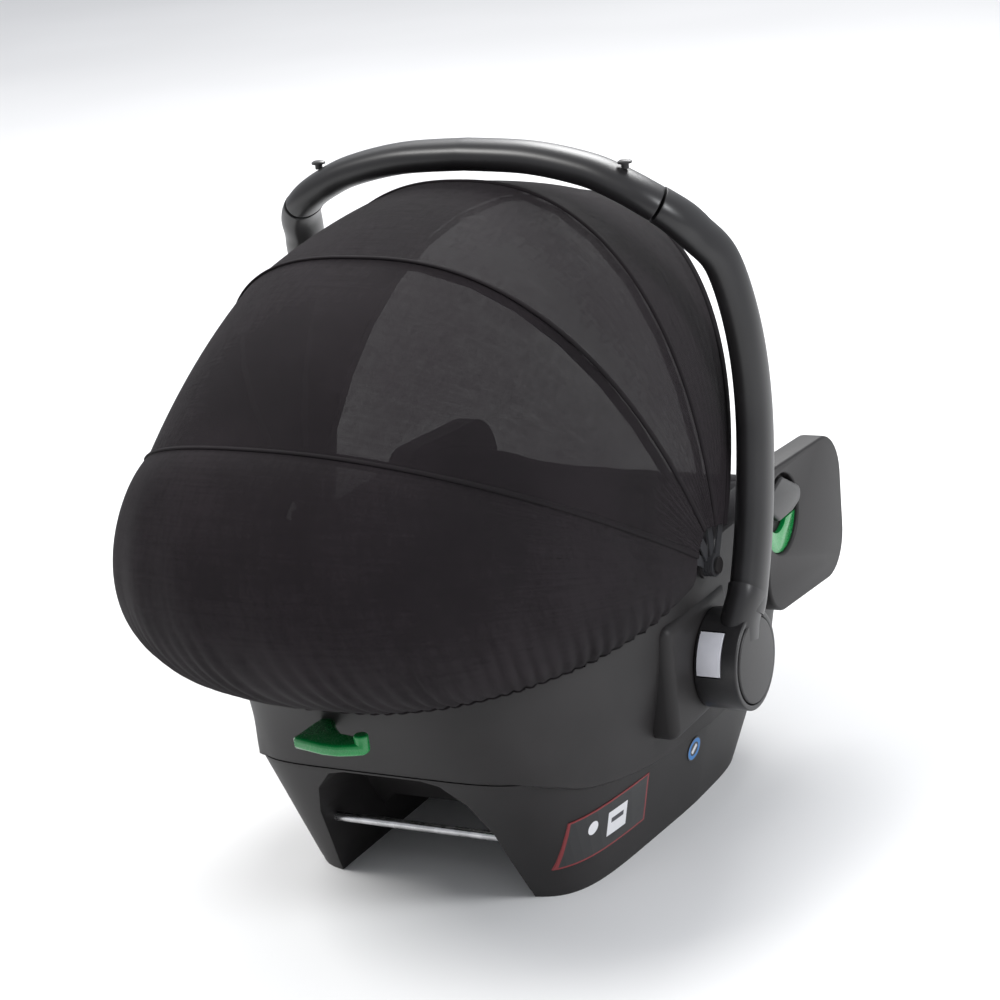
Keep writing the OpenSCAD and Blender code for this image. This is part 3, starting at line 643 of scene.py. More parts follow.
def webbed(name, color):
    """Flat woven webbing: ribs along its length and a herringbone across, on its UV map, with painted shade
    in their grooves and a painted highlight on their tops.
    """
    finish = Finish(name, color, 0.72, Sheen_Weight=0.05, Specular_IOR_Level=0.25)
    u, v, _ = finish.parts(finish.where("UV"))
    rib = (u * (9 * math.tau)).wave()
    bone = (v * 420 + rib * 2.2).wave()
    # Painted shade and highlight: the colour is darker in the grooves between ribs and herringbone and
    # lighter on their tops, following the bump below.
    mask = finish.ramp(rib + bone * 0.5, -1, 1.2)
    finish.feed("Base Color", finish.blend(mask, shade(color, 0.7), shade(color, 1.5)))
    finish.feed("Roughness", 0.7 + bone * 0.06)
    finish.bump(rib * 0.6 + bone * 0.5, 0.6, 0.0004)
    return finish.material


def metal(name, color, roughness):
    """Plated steel: faint drawing lines along X and small bright scuffs."""
    finish = Finish(name, color, roughness, Metallic=1.0)
    lines, dull = finish.noise(900, 2, (0.02, 1, 1)), finish.noise(60, 4)
    mask = finish.ramp(dull, 0.3, 0.75)
    finish.feed("Base Color", finish.blend(mask, shade(color, 0.75), shade(color, 1.1)))
    finish.feed("Roughness", roughness + (lines - 0.5) * 0.2 + (dull - 0.5) * 0.15)
    finish.bump(lines, 0.3, 0.00005)
    return finish.material


def foamed(name, color):
    """Expanded foam: pressed beads with fine creases between them, and painted shade in those creases."""
    finish = Finish(name, color, 0.8)
    beads = finish.ramp(finish.cells(230), 0.1, 0.6)
    # Painted shade: the colour darkens from each bead's middle towards the creases round it, where the bump
    # below sinks.
    finish.feed("Base Color", finish.blend(beads, shade(color, 1.05), shade(color, 0.78)))
    finish.feed("Roughness", 0.75 + beads * 0.15)
    finish.bump(1 - beads, 0.5, 0.0008)
    return finish.material


def label_print(name, centre):
    """A printed film: a red line round a grey field, a white disc, and a white box with a bar."""
    finish = Finish(name, (0.05, 0.05, 0.05), 0.42)
    _, y, z = finish.parts(finish.where())
    dy, dz = y - centre.y, z - centre.z
    edge = ((abs(dy) > 0.0528) + (abs(dz) > 0.0205)) > 0.5
    disc = ((dy - 0.026) * (dy - 0.026) + (dz - 0.006) * (dz - 0.006)) < 0.000036
    field = (abs(dy + 0.008) < 0.014) * (abs(dz) < 0.011)
    bar = (abs(dy + 0.008) < 0.009) * (abs(dz - 0.002) < 0.0022)
    ink = finish.blend(edge, (0.02, 0.02, 0.021), (0.20, 0.02, 0.024))
    ink = finish.blend(disc, ink, (0.72, 0.72, 0.74))
    ink = finish.blend(field, ink, (0.70, 0.70, 0.72))
    ink = finish.blend(bar, ink, (0.05, 0.05, 0.06))
    finish.feed("Base Color", ink)
    finish.bump(finish.noise(500, 2), 0.2, 0.00005)
    return finish.material


def badge_print(name, centre):
    """A round printed film: a blue ring round a dark field with a pale stroke."""
    finish = Finish(name, (0.02, 0.02, 0.02), 0.35)
    _, y, z = finish.parts(finish.where())
    dy, dz = y - centre.y, z - centre.z
    far = dy * dy + dz * dz
    ink = finish.blend((far > 0.000042) * (far < 0.0000980), (0.02, 0.022, 0.025), (0.02, 0.19, 0.52))
    ink = finish.blend((abs(dy * 0.7 + dz * 0.7) < 0.0022) * (far < 0.000022), ink, (0.7, 0.72, 0.75))
    finish.feed("Base Color", ink)
    finish.bump(finish.noise(500, 2), 0.2, 0.00005)
    return finish.material


# ---------------------------------------------------------------- sizes and colours a user would change
def length(name, description, default):
    """A property for a length, with its default in millimetres."""
    return bpy.props.FloatProperty(name=name, description=description, default=default * MM, unit="LENGTH")


def colour(name, description, default):
    """A property for a colour."""
    return bpy.props.FloatVectorProperty(name=name, description=description, subtype="COLOR", default=default)


class CarSeatSizes(bpy.types.PropertyGroup):
    """Sizes of the soft goods"""

    cloth: length("Hood cloth", "Thickness of the hood's fabric", 1.0)
    piping: length("Piping", "Radius of the cord in the hood's seams", 1.5)
    gathers: bpy.props.IntProperty(name="Gathers", description="Gathers round the elastic hem", default=58)
    gather_depth: length("Gather depth", "Depth of a gather at the hem", 2.6)
    webbing: length("Webbing", "Width of the harness webbing", 25)


class CarSeatColours(bpy.types.PropertyGroup):
    """Colours of the finishes"""

    shell: colour("Shell", "Moulded shells", (0.018, 0.0165, 0.0168))
    handle: colour("Handle", "Handle and hubs", (0.0125, 0.0118, 0.0125))
    hood: colour("Hood", "Hood fabric", (0.0125, 0.0098, 0.0115))
    pads: colour("Pads", "Padded covers", (0.014, 0.0125, 0.0145))
    insert: colour("Insert", "Infant insert", (0.040, 0.036, 0.042))
    green: colour("Belt route", "Belt guides", (0.001, 0.22, 0.045))


def finishes():
    """Every finish of the seat, by its name in the builders below."""
    colours = bpy.context.scene.car_seat_colours
    shell, handle, hood = tuple(colours.shell), tuple(colours.handle), tuple(colours.hood)
    return {
        "shell_plastic": moulded("moulded shell", shell, 0.52, Specular_IOR_Level=0.3),
        "handle_plastic": moulded("satin handle", handle, 0.36, grain=2200, depth=0.00006),
        "trim_plastic": moulded("satin trim", shade(shell, 0.9), 0.42, grain=1900, depth=0.00008),
        "tongue_gloss": moulded("glossy tongue", shade(handle, 0.8), 0.42, grain=700, depth=0.00003,
                                Coat_Weight=0.1),
        "bow_plastic": moulded("bow", (0.035, 0.035, 0.038), 0.35, grain=900, depth=0.00005),
        "foot_rubber": moulded("rubber feet", (0.016, 0.016, 0.016), 0.8, grain=500, depth=0.0003),
        "liner_foam": foamed("foam liner", (0.72, 0.71, 0.69)),
        "padded_fabric": knitted("padded jersey", tuple(colours.pads)),
        "insert_fabric": knitted("insert jersey", tuple(colours.insert), 1.3),
        "hood_fabric": woven("hood cloth", hood, 1500, 700, alpha=(0.90, 0.955)),
        "thin_fabric": woven("thin hood cloth", hood, 1500, 700, alpha=(0.82, 0.90)),
        "piping_fabric": woven("piping", shade(hood, 0.7), 24, 1800),
        "webbing": webbed("webbing", (0.014, 0.014, 0.015)),
        "steel": metal("plated steel", (0.62, 0.62, 0.63), 0.28),
        "tongue_steel": metal("plated tongue", (0.55, 0.55, 0.57), 0.22),
        "buckle_plastic": moulded("buckle", (0.16, 0.16, 0.165), 0.34, grain=1400, depth=0.00005),
        "buckle_red": moulded("buckle button", (0.45, 0.012, 0.014), 0.3, grain=1200, depth=0.00004,
                              Coat_Weight=0.3),
        "silver_plastic": moulded("silver button", (0.60, 0.60, 0.64), 0.34, grain=1800, depth=0.00003),
        "belt_green": moulded("green guide", tuple(colours.green), 0.27, grain=1200, depth=0.00004,
                              Coat_Weight=0.3),
        "label_film": label_print("label print", middle_of("side_label")),
        "badge_blue": badge_print("badge print", middle_of("round_badge")),
    }


# ---------------------------------------------------------------- shells
AROUND = 224
ARCH_LEAN = 0.78
ARCH = [(93, -2), (86, 43), (82, 73), (70, 103), (52, 122), (36, 126)]
TUNNEL = [(93, -2), (87, 32), (68, 51)]


def both_sides(points):
    """A symmetrical outline from its right half."""
    return points + [(-x, z) for x, z in reversed(points)]


def build_shell():
    """The outer shell, from its lip over the base up to the rim."""
    turns = even_turns(RIM, AROUND) + [1]

    def shape(u, v):
        turn = turns[round(u * AROUND)]
        side = smooth_step((abs(math.cos(math.tau * turn)) - 0.45) / 0.3)
        t = max(0, (v - 0.12) / 0.88)
        tuck = -7 * (1 - v / 0.06) if v < 0.06 else 0
        lip = 3.2 * side * (1 - smooth_step((v - 0.10) / 0.22))
        x, y, z = wall_point(turn, t, lip + tuck - 0.2 * (1 - side))
        drop = 5.0 * side * (1 - smooth_step(v / 0.12))
        return place(x, y, z - drop)

    shell = sheet_of("shell", AROUND, 44, shape)
    clean(shell)
    outwards(shell)
    modify(shell, "SOLIDIFY", thickness=3 * MM, offset=-1)
    soften(shell, 0.9, 2, 60)
    smooth(shell)
    attach(shell, "carrier", "shell_plastic", "outer_shell")


def build_base():
    """The base: two rails between a tunnel along the seat and an arch under the head end."""
    turns = even_turns(FLOOR, AROUND) + [1]

    def shape(u, v):
        turn = turns[round(u * AROUND)]
        fx, fy = outline(FLOOR, 0, turn)
        lx, ly = outline(LIP, 0, turn)
        if v < 0.08:
            inset = 1 - 0.03 * (1 - v / 0.08)
            return place(fx * inset, MID_Y + (fy - MID_Y) * inset, 0)
        t = (v - 0.08) / 0.92
        soft = 0.02 * (1 - smooth_step(t / 0.06))
        return place(mix(fx, lx, t - soft), mix(fy, ly, t - soft), t * (read(LIP_TABLE, ly) - 1))

    base = sheet_of("base", AROUND, 26, shape)
    clean(base, close=True)
    cut(base, prism("tunnel", [place(x, 400, z) for x, z in both_sides(TUNNEL)], (0, -900 * MM, 0)))
    arch = prism("arch", [place(x, 400, z + (12 if z > 125 else 0)) for x, z in both_sides(ARCH)],
                 (0, -355 * MM, 0))
    for vertex in arch.data.vertices:
        if seat_y(vertex.co.y) < 60:
            vertex.co.y += vertex.co.z * ARCH_LEAN
        vertex.co.z = min(vertex.co.z, ARCH[-1][1] * MM)
    cut(base, arch)
    soften(base, 2.2, 3, 42)
    smooth(base, 30)
    attach(base, "carrier", "shell_plastic", "base_shell")


def build_brackets():
    """Brackets behind the hubs, with the sockets that take an adaptor's tongue."""
    low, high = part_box("pivot_bracket_right")
    foot = low[2] / MM
    right = block("bracket_right", (150, seat_y(low[1]) + 2, foot),
                  (high[0] / MM, seat_y(high[1]), high[2] / MM))
    soften(right, 9, 4, 30)
    cut(right, block("socket", (171, -42, foot - 5), (183, 2, foot + 34)))
    clean(right)
    smooth(right)
    left = mirrored(right, "bracket_left")
    smooth(left)
    for piece, side in ((right, "right"), (left, "left")):
        attach(piece, "carrier", "shell_plastic", "pivot_bracket_" + side)


# ---------------------------------------------------------------- handle and hubs
HUB = middle_of("hub_cap_right")
BUTTON_TILT = math.radians(25)
HANDLE_TOP = 583
HALF_HANDLE = [(0, -42, 0), (60, -42, -3), (110, -42, -13), (140, -42, -25), (162, -45, -38), (178, -56, -53),
               (189, -74, -73), (202, -93, -103), (211.5, -103, -163), (215, -103, -233), (216.5, -85, -313),
               (216.5, -61, -375), (215.5, -52, -392)]
LEG_FROM = 70  # step of the smooth path where the bar ends and a leg begins


def build_handle():
    """The handle's bar, and the legs that grow thicker towards the hubs."""
    path = curve_through([place(x, y, HANDLE_TOP + z) for x, y, z in HALF_HANDLE], 16)
    section = round_section(39.5 * MM, 26.6 * MM, 2.2)
    half = path[:LEG_FROM]
    whole = [Vector((-p.x, p.y, p.z)) for p in reversed(half[1:])] + half
    bar = tube("handle_bar", whole, section, 40)
    leg = tube("handle_leg_right", path[LEG_FROM:], section, 40)
    for vertex in leg.data.vertices:
        near = min(path[LEG_FROM:], key=lambda p: (p - vertex.co).length)
        vertex.co = near + (vertex.co - near) * mix(1.03, 1.1, smooth_step((0.5 - near.z) / 0.3))
    twin = mirrored(leg, "handle_leg_left")
    for piece, node in ((bar, "handle_grip"), (leg, "handle_leg_right"), (twin, "handle_leg_left")):
        soften(piece, 0.8, 2)
        smooth(piece, 40)
        attach(piece, "handle", "handle_plastic", node)


def build_hubs():
    """Round hubs: a drum with a soft edge, a socket for the leg and a recessed cap."""
    y, z = seat_y(HUB.y), HUB.z / MM
    hub = drum("hub_right", 43, 186.6, 225, y, z)
    open_end(hub, Vector((1, 0, 0)))
    bpy.ops.mesh.inset(thickness=5.2 * MM, depth=0)
    bpy.ops.mesh.extrude_region_move(TRANSFORM_OT_translate={"value": (-3 * MM, 0, 0)})
    bpy.ops.object.mode_set(mode="OBJECT")
    soften(hub, 3, 5)
    window = block("window", (188.5, y + 33, z - 19.8), (211.8, y + 60, z + 19.8))
    soften(window, 2.5, 3, 30)
    cut(hub, turned(window, -BUTTON_TILT, y, z))
    collar_path = [place(212, y + 2, z + 20), place(213, y - 2, z + 36), place(216, y - 10, z + 52),
                   place(216.5, y - 14, z + 58)]
    collar = tube("collar", curve_through(collar_path, 6), round_section(46 * MM, 30 * MM, 2.3), 40)
    clean(hub)
    cut(hub, collar, "UNION")
    smooth(hub, 35)
    cap = drum("hub_cap_right", 37.0, 220, 226.2, y, z)
    soften(cap, 1.6, 4)
    smooth(cap, 35)
    button = drum("hub_button_right", 43.6, 189.6, 210.6, y, z, 160)
    cut(button, drum("button_inside", 38.5, 180, 220, y, z, 160))
    clip = block("button_clip", (189, y + 20, z - 18.6), (211, y + 60, z + 18.6))
    cut(button, turned(clip, -BUTTON_TILT, y, z), "INTERSECT")
    soften(button, 1.6, 4)
    smooth(button, 35)
    for piece, finish, node, body in ((hub, "handle_plastic", "hub", "handle"),
                                      (cap, "trim_plastic", "hub_cap", "handle"),
                                      (button, "silver_plastic", "handle_button", "handle_button")):
        twin = mirrored(piece, piece.name.replace("right", "left"))
        smooth(twin, 35)
        for one, side in ((piece, "right"), (twin, "left")):
            rides = body + "_" + side if body == "handle_button" else body
            attach(one, rides, finish, node + "_" + side)


def build_pegs():
    """Two small mushroom-shaped pegs on the handle for a toy's loops."""
    low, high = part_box("toy_pegs")
    for name, x in (("peg_left", low[0] + 6 * MM), ("peg_right", high[0] - 6 * MM)):
        peg = pillar(name, 3.2, 7, (x, (low[1] + high[1]) / 2, low[2] + 3.5 * MM), 32)
        open_end(peg, Vector((0, 0, 1)))
        for grow, rise in ((1.85, -2.6), (1.0, 1.6), (0.72, 1.0), (0.5, 0.3)):
            bpy.ops.mesh.extrude_region_move(TRANSFORM_OT_translate={"value": (0, 0, rise * MM)})
            bpy.ops.transform.resize(value=(grow, grow, 1))
        bpy.ops.object.mode_set(mode="OBJECT")
        clean(peg)
        smooth(peg, 50)
        attach(peg, "handle", "handle_plastic",
               *(("toy_pegs",) if name == "peg_left" else ()))


# ---------------------------------------------------------------- belt route
EAR_X, EAR_Y, EAR_Z = 192.5, -254, 200
# circles round which each plate of an ear runs: y and z from the ear's middle, and radius
EAR_PLATE = ((62, 40, 32), (-44, 22, 44), (-46, -30, 40), (58, -26, 36))
EAR_TONGUE = ((54, 50, 10), (22, 34, 9), (34, 28, 6), (62, 28, 6), (79, 44, 8))
HOOK = ((32, 4), (33, 10), (30, 14), (20, 16), (2, 20), (-12, 20), (-24, 16), (-33, 12), (-34, 4),
        (-28, -2), (-16, -4), (-2, -6), (12, -20), (22, -34), (30, -34), (32, -14))


def ear_plate(name, circles, x0, x1):
    """A plate round circles given from the ear's middle."""
    return plate(name, [(EAR_Y + y, EAR_Z + z, radius) for y, z, radius in circles], x0, x1)


def ear_disc(name, radius, x0, x1, y, z):
    """A disc given from the ear's middle."""
    return drum(name, radius, x0, x1, EAR_Y + y, EAR_Z + z, 128)


def build_belt_guides():
    """The two large ears beside the legs, each with a green belt guide, and the hook at the head end."""
    ear = ear_plate("belt_guide_right", EAR_PLATE, EAR_X - 24, EAR_X)
    cut(ear, ear_disc("slot", 36, EAR_X - 8, EAR_X + 8, 54, 26))
    soften(ear, 2.6, 4)
    tongue = ear_plate("tongue", EAR_TONGUE, EAR_X - 9, EAR_X + 1.5)
    soften(tongue, 2.4, 4, 40)
    green = ear_disc("green", 35.2, EAR_X - 7.6, EAR_X - 3, 54, 26)
    cut(green, ear_disc("inside", 22, EAR_X - 12.6, EAR_X + 2, 58, 32))
    cut(green, block("roof", (EAR_X - 20, EAR_Y - 80, EAR_Z + 18), (EAR_X + 20, EAR_Y + 120, EAR_Z + 102)))
    soften(green, 0.8, 2)
    for piece, finish, slot, node in ((ear, "shell_plastic", "shell_plastic", "lap_belt_guide"),
                                      (tongue, "tongue_gloss", "shell_plastic", ""),
                                      (green, "belt_green", "belt_green", "guide_insert")):
        smooth(piece, 35)
        name = piece.name.replace("right", "left") if "right" in piece.name else piece.name + "_left"
        twin = mirrored(piece, name)
        smooth(twin, 35)
        for one, side in ((piece, "right"), (twin, "left")):
            attach(one, "carrier", finish, *((node + "_" + side,) if node else ()), slot=slot)
    hook = prism("shoulder_belt_hook", [place(x, 262 + y, 177) for x, y in HOOK], (0, 0, 10 * MM))
    soften(hook, 3.6, 5)
    post = pillar("post", 6, 15, place(-28, 269, 186), 48)
    soften(post, 2, 4)
    cut(hook, post, "UNION")
    smooth(hook, 40)
    attach(hook, "carrier", "belt_green", "shoulder_belt_guide")


# ---------------------------------------------------------------- hood
HOOD_Y, HOOD_Z = -40, 235
BOWS = {"rear_bow": (61, 430, 2.4), "middle_bow": (31.6, 356, 2.6), "top_bow": (2.6, 325, 2.4),
        "front_bow": (-28, 318, 2.4)}
BOW_HALF = 197.4  # half the width across a bow's ends
OVER = 2.9        # how far the fabric lies outside the bows' middle
HEM = [(-40, 234), (-29, 232), (30, 222), (105, 216), (262, 212)]


def arc_point(angle, radius, half, n, turn):
    """A point of a bow; turn runs from 0 at the right pivot to 1 at the left one."""
    a, tilt = math.pi * turn, math.radians(angle)
    rho = radius * power(abs(math.sin(a)), n)
    return half * power(math.cos(a), n), HOOD_Y + rho * math.sin(tilt), HOOD_Z + rho * math.cos(tilt)


def bow_turn(u):
    """The turn on a bow for a share of the fabric, which stops short of both pivots."""
    return mix(0.022, 0.978, u)


def cut_size(piece, columns, rows):
    """Width and length of a grid's longest row and column, and its area."""
    points = [vertex.co for vertex in piece.data.vertices]
    wide = columns + 1

    def step(index, to):
        return (points[index + to] - points[index]).length

    across = max(sum(step(r * wide + c, 1) for c in range(columns)) for r in range(rows + 1))
    along = max(sum(step(r * wide + c, wide) for r in range(rows)) for c in range(wide))
    return (across, along), min(sum(face.area for face in piece.data.polygons), across * along)


def hood_panel(first, second, name):
    """Fabric stretched between two bows: it sags between them and puckers a little beside the pivots."""
    a, b = BOWS[first], BOWS[second]
    cloth = bpy.context.scene.car_seat_sizes.cloth / MM
    columns, rows = 128, 30

    def shape(u, v):
        t, between = bow_turn(u), max(0, math.sin(math.pi * v))
        sag = (6.5 + 1.4 * math.sin(3.1 * math.tau * u + 9 * a[0])) * between**0.8
        pucker = 1.3 * between * (1 - math.sin(math.pi * t)) ** 2 * math.sin(5 * math.tau * v)
        grow = OVER + cloth / 2 + 0.2
        x, y, z = arc_point(mix(a[0], b[0], v), mix(a[1], b[1], v) + grow - sag, BOW_HALF + grow,
                            mix(a[2], b[2], v), t)
        return place(x + math.copysign(pucker, x), y, z)

    panel = sheet_of(name, columns, rows, shape)
    outwards(panel)
    flat, area = cut_size(panel, columns, rows)
    modify(panel, "SOLIDIFY", thickness=cloth * MM, offset=0)
    smooth(panel, 60)
    middle = lambda bow: place(*arc_point(bow[0], bow[1], BOW_HALF, bow[2], 0.5))
    start, end = middle(a), middle(b)
    return panel, flat, area, start.lerp(end, 0.2), start.lerp(end, 0.8)


def piping(bow, name, body):
    """The cord and seam tape where two panels meet over a bow."""
    angle, radius, n = BOWS[bow]
    size = bpy.context.scene.car_seat_sizes
    lift = OVER + size.cloth / MM + 0.6
    path = [place(*arc_point(angle, radius + lift, BOW_HALF + lift, n, bow_turn(i / 150)))
            for i in range(151)]
    wide = 2.6 if bow == "front_bow" else 1.8
    cord = tube(name, path, round_section(2 * wide * size.piping, 1.5 * size.piping, 2.6), 14)
    smooth(cord, 70)
    attach(cord, body, "piping_fabric", slot="hood_fabric")
    return cord


def hem_point(t, grow):
    """A point of the rear panel's hem round the head end, from the right side to the left."""
    a = mix(math.radians(6), math.radians(174), t)
    x = (189 + grow) * power(math.cos(a), 2.4)
    y = MID_Y + (330 + grow) * power(abs(math.sin(a)), 2.4)
    return Vector((x, y, read(HEM, y)))


def rear_point(u, v, deep, gathers):
    """The bulging rear panel, from the rear bow down to its gathered hem."""
    t = bow_turn(u)
    full = abs(math.sin(math.pi * t)) ** 1.25
    grow = OVER + 0.7
    angle, radius, n = BOWS["rear_bow"]
    p0 = Vector(arc_point(angle, radius + grow, BOW_HALF + grow, n, t))
    p3 = hem_point(u, 0.8)
    out = Vector((p3.x, p3.y - MID_Y, 0)).normalized()
    p1 = p0 + full * Vector((0, 74, -18))
    p2 = p3 + full * (182 * out + Vector((0, 0, 73)))
    w = 1 - v
    point = w**3 * p0 + 3 * w * w * v * p1 + 3 * w * v * v * p2 + v**3 * p3
    near = smooth_step((v - 0.42) / 0.58)
    ripple = math.sin(math.tau * gathers * u + 1.3 * math.sin(17 * u))
    ripple *= 0.75 + 0.25 * math.sin(math.tau * 11 * u)
    broad = math.sin(math.tau * gathers / 4 * u + 2) * math.sin(math.pi * min(1, v * 1.02)) ** 2
    keep = 1 - smooth_step((abs(u - 0.5) - 0.44) / 0.05)
    point += out * (deep * near**1.6 * (ripple - 0.4) + 0.35 * deep * broad) * keep
    return place(*point)


def build_hood():
    """The rear panel with its elastic hem, the piping over each bow, and the panels between the bows."""
    size = bpy.context.scene.car_seat_sizes
    deep = size.gather_depth / MM
    columns, rows = 512, 40
    rear = sheet_of("hood_rear", columns, rows, lambda u, v: rear_point(u, v, deep, size.gathers))
    outwards(rear)
    flat, area = cut_size(rear, columns, rows)
    modify(rear, "SOLIDIFY", thickness=size.cloth, offset=0)
    smooth(rear, 60)
    attach(rear, "carrier", "hood_fabric", "hood_rear_panel")
    path = [rear_point(i / 420, 1, deep, size.gathers) for i in range(421)]
    hem = tube("hood_hem", path, round_section(5.2 * MM, 3.2 * MM, 2.4), 14)
    smooth(hem, 70)
    attach(hem, "carrier", "piping_fabric", slot="hood_fabric")
    seams = {bow: piping(bow, bow + "_piping", "carrier" if bow == "rear_bow" else bow) for bow in BOWS}
    bows = list(BOWS)
    for a, b, node in zip(bows, bows[1:], ("hood_middle_panel", "hood_top_panel", "hood_front_panel")):
        panel, flat, area, start, end = hood_panel(a, b, node.replace("_panel", ""))
        finish = "hood_fabric" if b == "front_bow" else "thin_fabric"
        attach(panel, ("carrier" if a == "rear_bow" else a, b, start, end), finish, node, slot="hood_fabric")


# ---------------------------------------------------------------- padding
def build_cover():
    """The padded cover: it fills the bowl, rolls over the rim and tucks in behind it."""
    turns = even_turns(RIM, 192) + [1]
    # steps over the rim: growth of the outline and height over the rim
    roll = [(-21, 3), (-19.5, 6.4), (-14, 8.2), (-8, 8.4), (-3, 7.2), (1.0, 4.2), (2.6, 0), (2.8, -4.5),
            (1.6, -7)]
    inside = 46

    def shape(u, v):
        turn = turns[round(u * 192)]
        row = round(v * (inside + len(roll)))
        if row <= inside:
            s = (row / inside) ** 0.75 * 0.975
            x, y, z = bowl_point(turn, s)
            channel = 2.6 * math.exp(-((abs(x) - 92 - 0.05 * (y + 60)) / 4.5) ** 2) * (1 if s < 0.9 else 0)
            for seam in (-205, 118):
                channel = max(channel, 2.4 * math.exp(-((y - seam) / 4.5) ** 2) * (1 if abs(x) < 92 else 0))
            puff = 2.2 * math.sin(math.pi * min(1, s / 0.95)) * (1 if s < 0.95 else 0)
            return place(x, y, z - channel + puff * 0.6)
        grow, up = roll[row - inside - 1]
        x, y = outline(RIM, grow, turn)
        ripple = 0.5 * math.sin(38 * math.tau * u) * (grow > -5)
        return place(x, y, read(RIM_TABLE, outline(RIM, 0, turn)[1]) + up + ripple)

    cover = sheet_of("cover", 192, inside + len(roll), shape)
    clean(cover)
    if sum(face.normal.z * face.area for face in cover.data.polygons) < 0:
        flip(cover)
    modify(cover, "SMOOTH", factor=0.4, iterations=2)
    modify(cover, "SOLIDIFY", thickness=2.4 * MM, offset=-1)
    smooth(cover, 60)
    attach(cover, "carrier", "padded_fabric", "seat_cover")


def build_insert():
    """The infant insert: a soft oval pad in the middle of the bowl."""
    turns = even_turns(RIM, 96) + [1]

    def shape(u, v):
        s = 0.5 * min(1, 2 * (v if v < 0.5 else 1 - v)) ** 0.8
        edge = (s / 0.5) ** 5
        high = 13 - 2.5 * edge if v < 0.5 else 2.5 + 7 * edge
        x, y, z = bowl_point(turns[round(u * 96)], s)
        return place(x, y, z + high)

    insert = sheet_of("insert", 96, 32, shape)
    clean(insert)
    inflate(insert, 3, 3, 5)
    attach(insert, "carrier", "insert_fabric", "infant_insert")


def build_headrest():
    """The headrest's pad: a trough with two wings that lies up the slope of the back."""
    slope = math.radians(39.5)
    radius, hollow = 78, 68

    def shape(u, v):
        a = math.radians(mix(-93, 93, u))
        wing = 1 - 0.1 * (2 * abs(u - 0.5)) ** 2
        along = mix(3, 93, v) * wing + 4 * (1 - wing)
        up = INSERT_TOP + 0.9 * (radius - hollow * math.cos(a))
        return place(hollow * math.sin(a), 122 + along * math.cos(slope) - up * math.sin(slope) * 0.2,
                     203.7 + along * math.sin(slope) + up)

    pad = sheet_of("headrest_pad", 40, 20, shape)
    modify(pad, "SOLIDIFY", thickness=13 * MM, offset=0)
    inflate(pad, 4, 3.5, 5)
    attach(pad, "headrest", "padded_fabric", "headrest")


def cover_point(x, y, lift):
    """A point lifted off the insert's top."""
    return place(x, y, pad_height(x, y) + INSERT_TOP + lift)


def build_harness():
    """Straps of webbing, their pads, and the pad under the buckle."""
    size = bpy.context.scene.car_seat_sizes
    flat = round_section(size.webbing, 2 * MM, 12)
    across = Vector((1, 0, 0))

    def laid(name, route, cuts, section):
        """A tube along places on the insert, each with its lift."""
        return tube(name, curve_through([cover_point(*p) for p in route], cuts), section, 24, across)

    strap = laid("strap_right", [(24, -46, 10), (27, -10, 9), (30, 40, 9), (34, 80, 9), (37, 104, 8)], 12,
                 flat)
    pad = laid("shoulder_pad_right", [(28.6, 20, 9.3), (30, 40, 9.3), (33, 66, 9.3), (34, 80, 9.3)], 8,
               round_section(43 * MM, 8 * MM, 3.5))
    crotch = laid("crotch_strap", [(0, -150, 3.2), (0, -140, 5), (0, -128, 8), (0, -124, 8.6)], 8,
                  round_section(30 * MM, 2 * MM, 12))
    inflate(pad, 4, 2.5, 4)
    for piece, finish, node in ((strap, "webbing", "harness_strap"), (pad, "padded_fabric", "shoulder_pad")):
        twin = mirrored(piece, piece.name.replace("right", "left"))
        for one, side in ((piece, "right"), (twin, "left")):
            smooth(one, 60)
            attach(one, "carrier", finish, node + "_" + side)
            node == "shoulder_pad"
    smooth(crotch, 60)
    attach(crotch, "carrier", "webbing", "crotch_strap")
    low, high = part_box("crotch_pad")
    deselect()
    middle = (Vector(low) + Vector(high)) / 2
    bpy.ops.mesh.primitive_cylinder_add(vertices=48, radius=1, depth=1, location=middle,
                                        scale=((high[0] - low[0]) / 2 - 0.002, (high[1] - low[1]) / 2 - 0.002,
                                               (high[2] - low[2]) - 0.001))
    under = added("crotch_pad_soft")
    settle(under)
    for vertex in under.data.vertices:
        lift = 3.2 if vertex.co.z > middle.z else 0.6
        height = pad_height(vertex.co.x / MM, seat_y(vertex.co.y)) + INSERT_TOP + lift
        vertex.co.z = height * MM
    inflate(under, 3, 1, 4)
    attach(under, "carrier", "padded_fabric", "crotch_pad")


# ---------------------------------------------------------------- finishes of the pieces kept as they are
KEPT = {
    "steel": "rear_latch_rod front_latch_rod pivot_bolt_left pivot_bolt_right lock_gear_left lock_gear_right "
             "lock_spring_left lock_spring_right latch_left latch_right",
    "bow_plastic": "rear_bow middle_bow top_bow front_bow",
    "trim_plastic": "hood_pivot_left hood_pivot_right adjuster_housing release_bezel release_handle",
    "foot_rubber": "rubber_feet", "liner_foam": "foam_liner", "webbing": "adjuster_strap",
    "buckle_plastic": "buckle_body", "tongue_steel": "buckle_tongues", "buckle_red": "buckle_button",
    "silver_plastic": "adjuster_button", "label_film": "side_label", "badge_blue": "round_badge",
}


def paint_kept():
    """Gives each piece that stays as designed the finish of its slot."""
    for slot, nodes in KEPT.items():
        for node in nodes.split():
            paint(bpy.data.objects[node], slot)


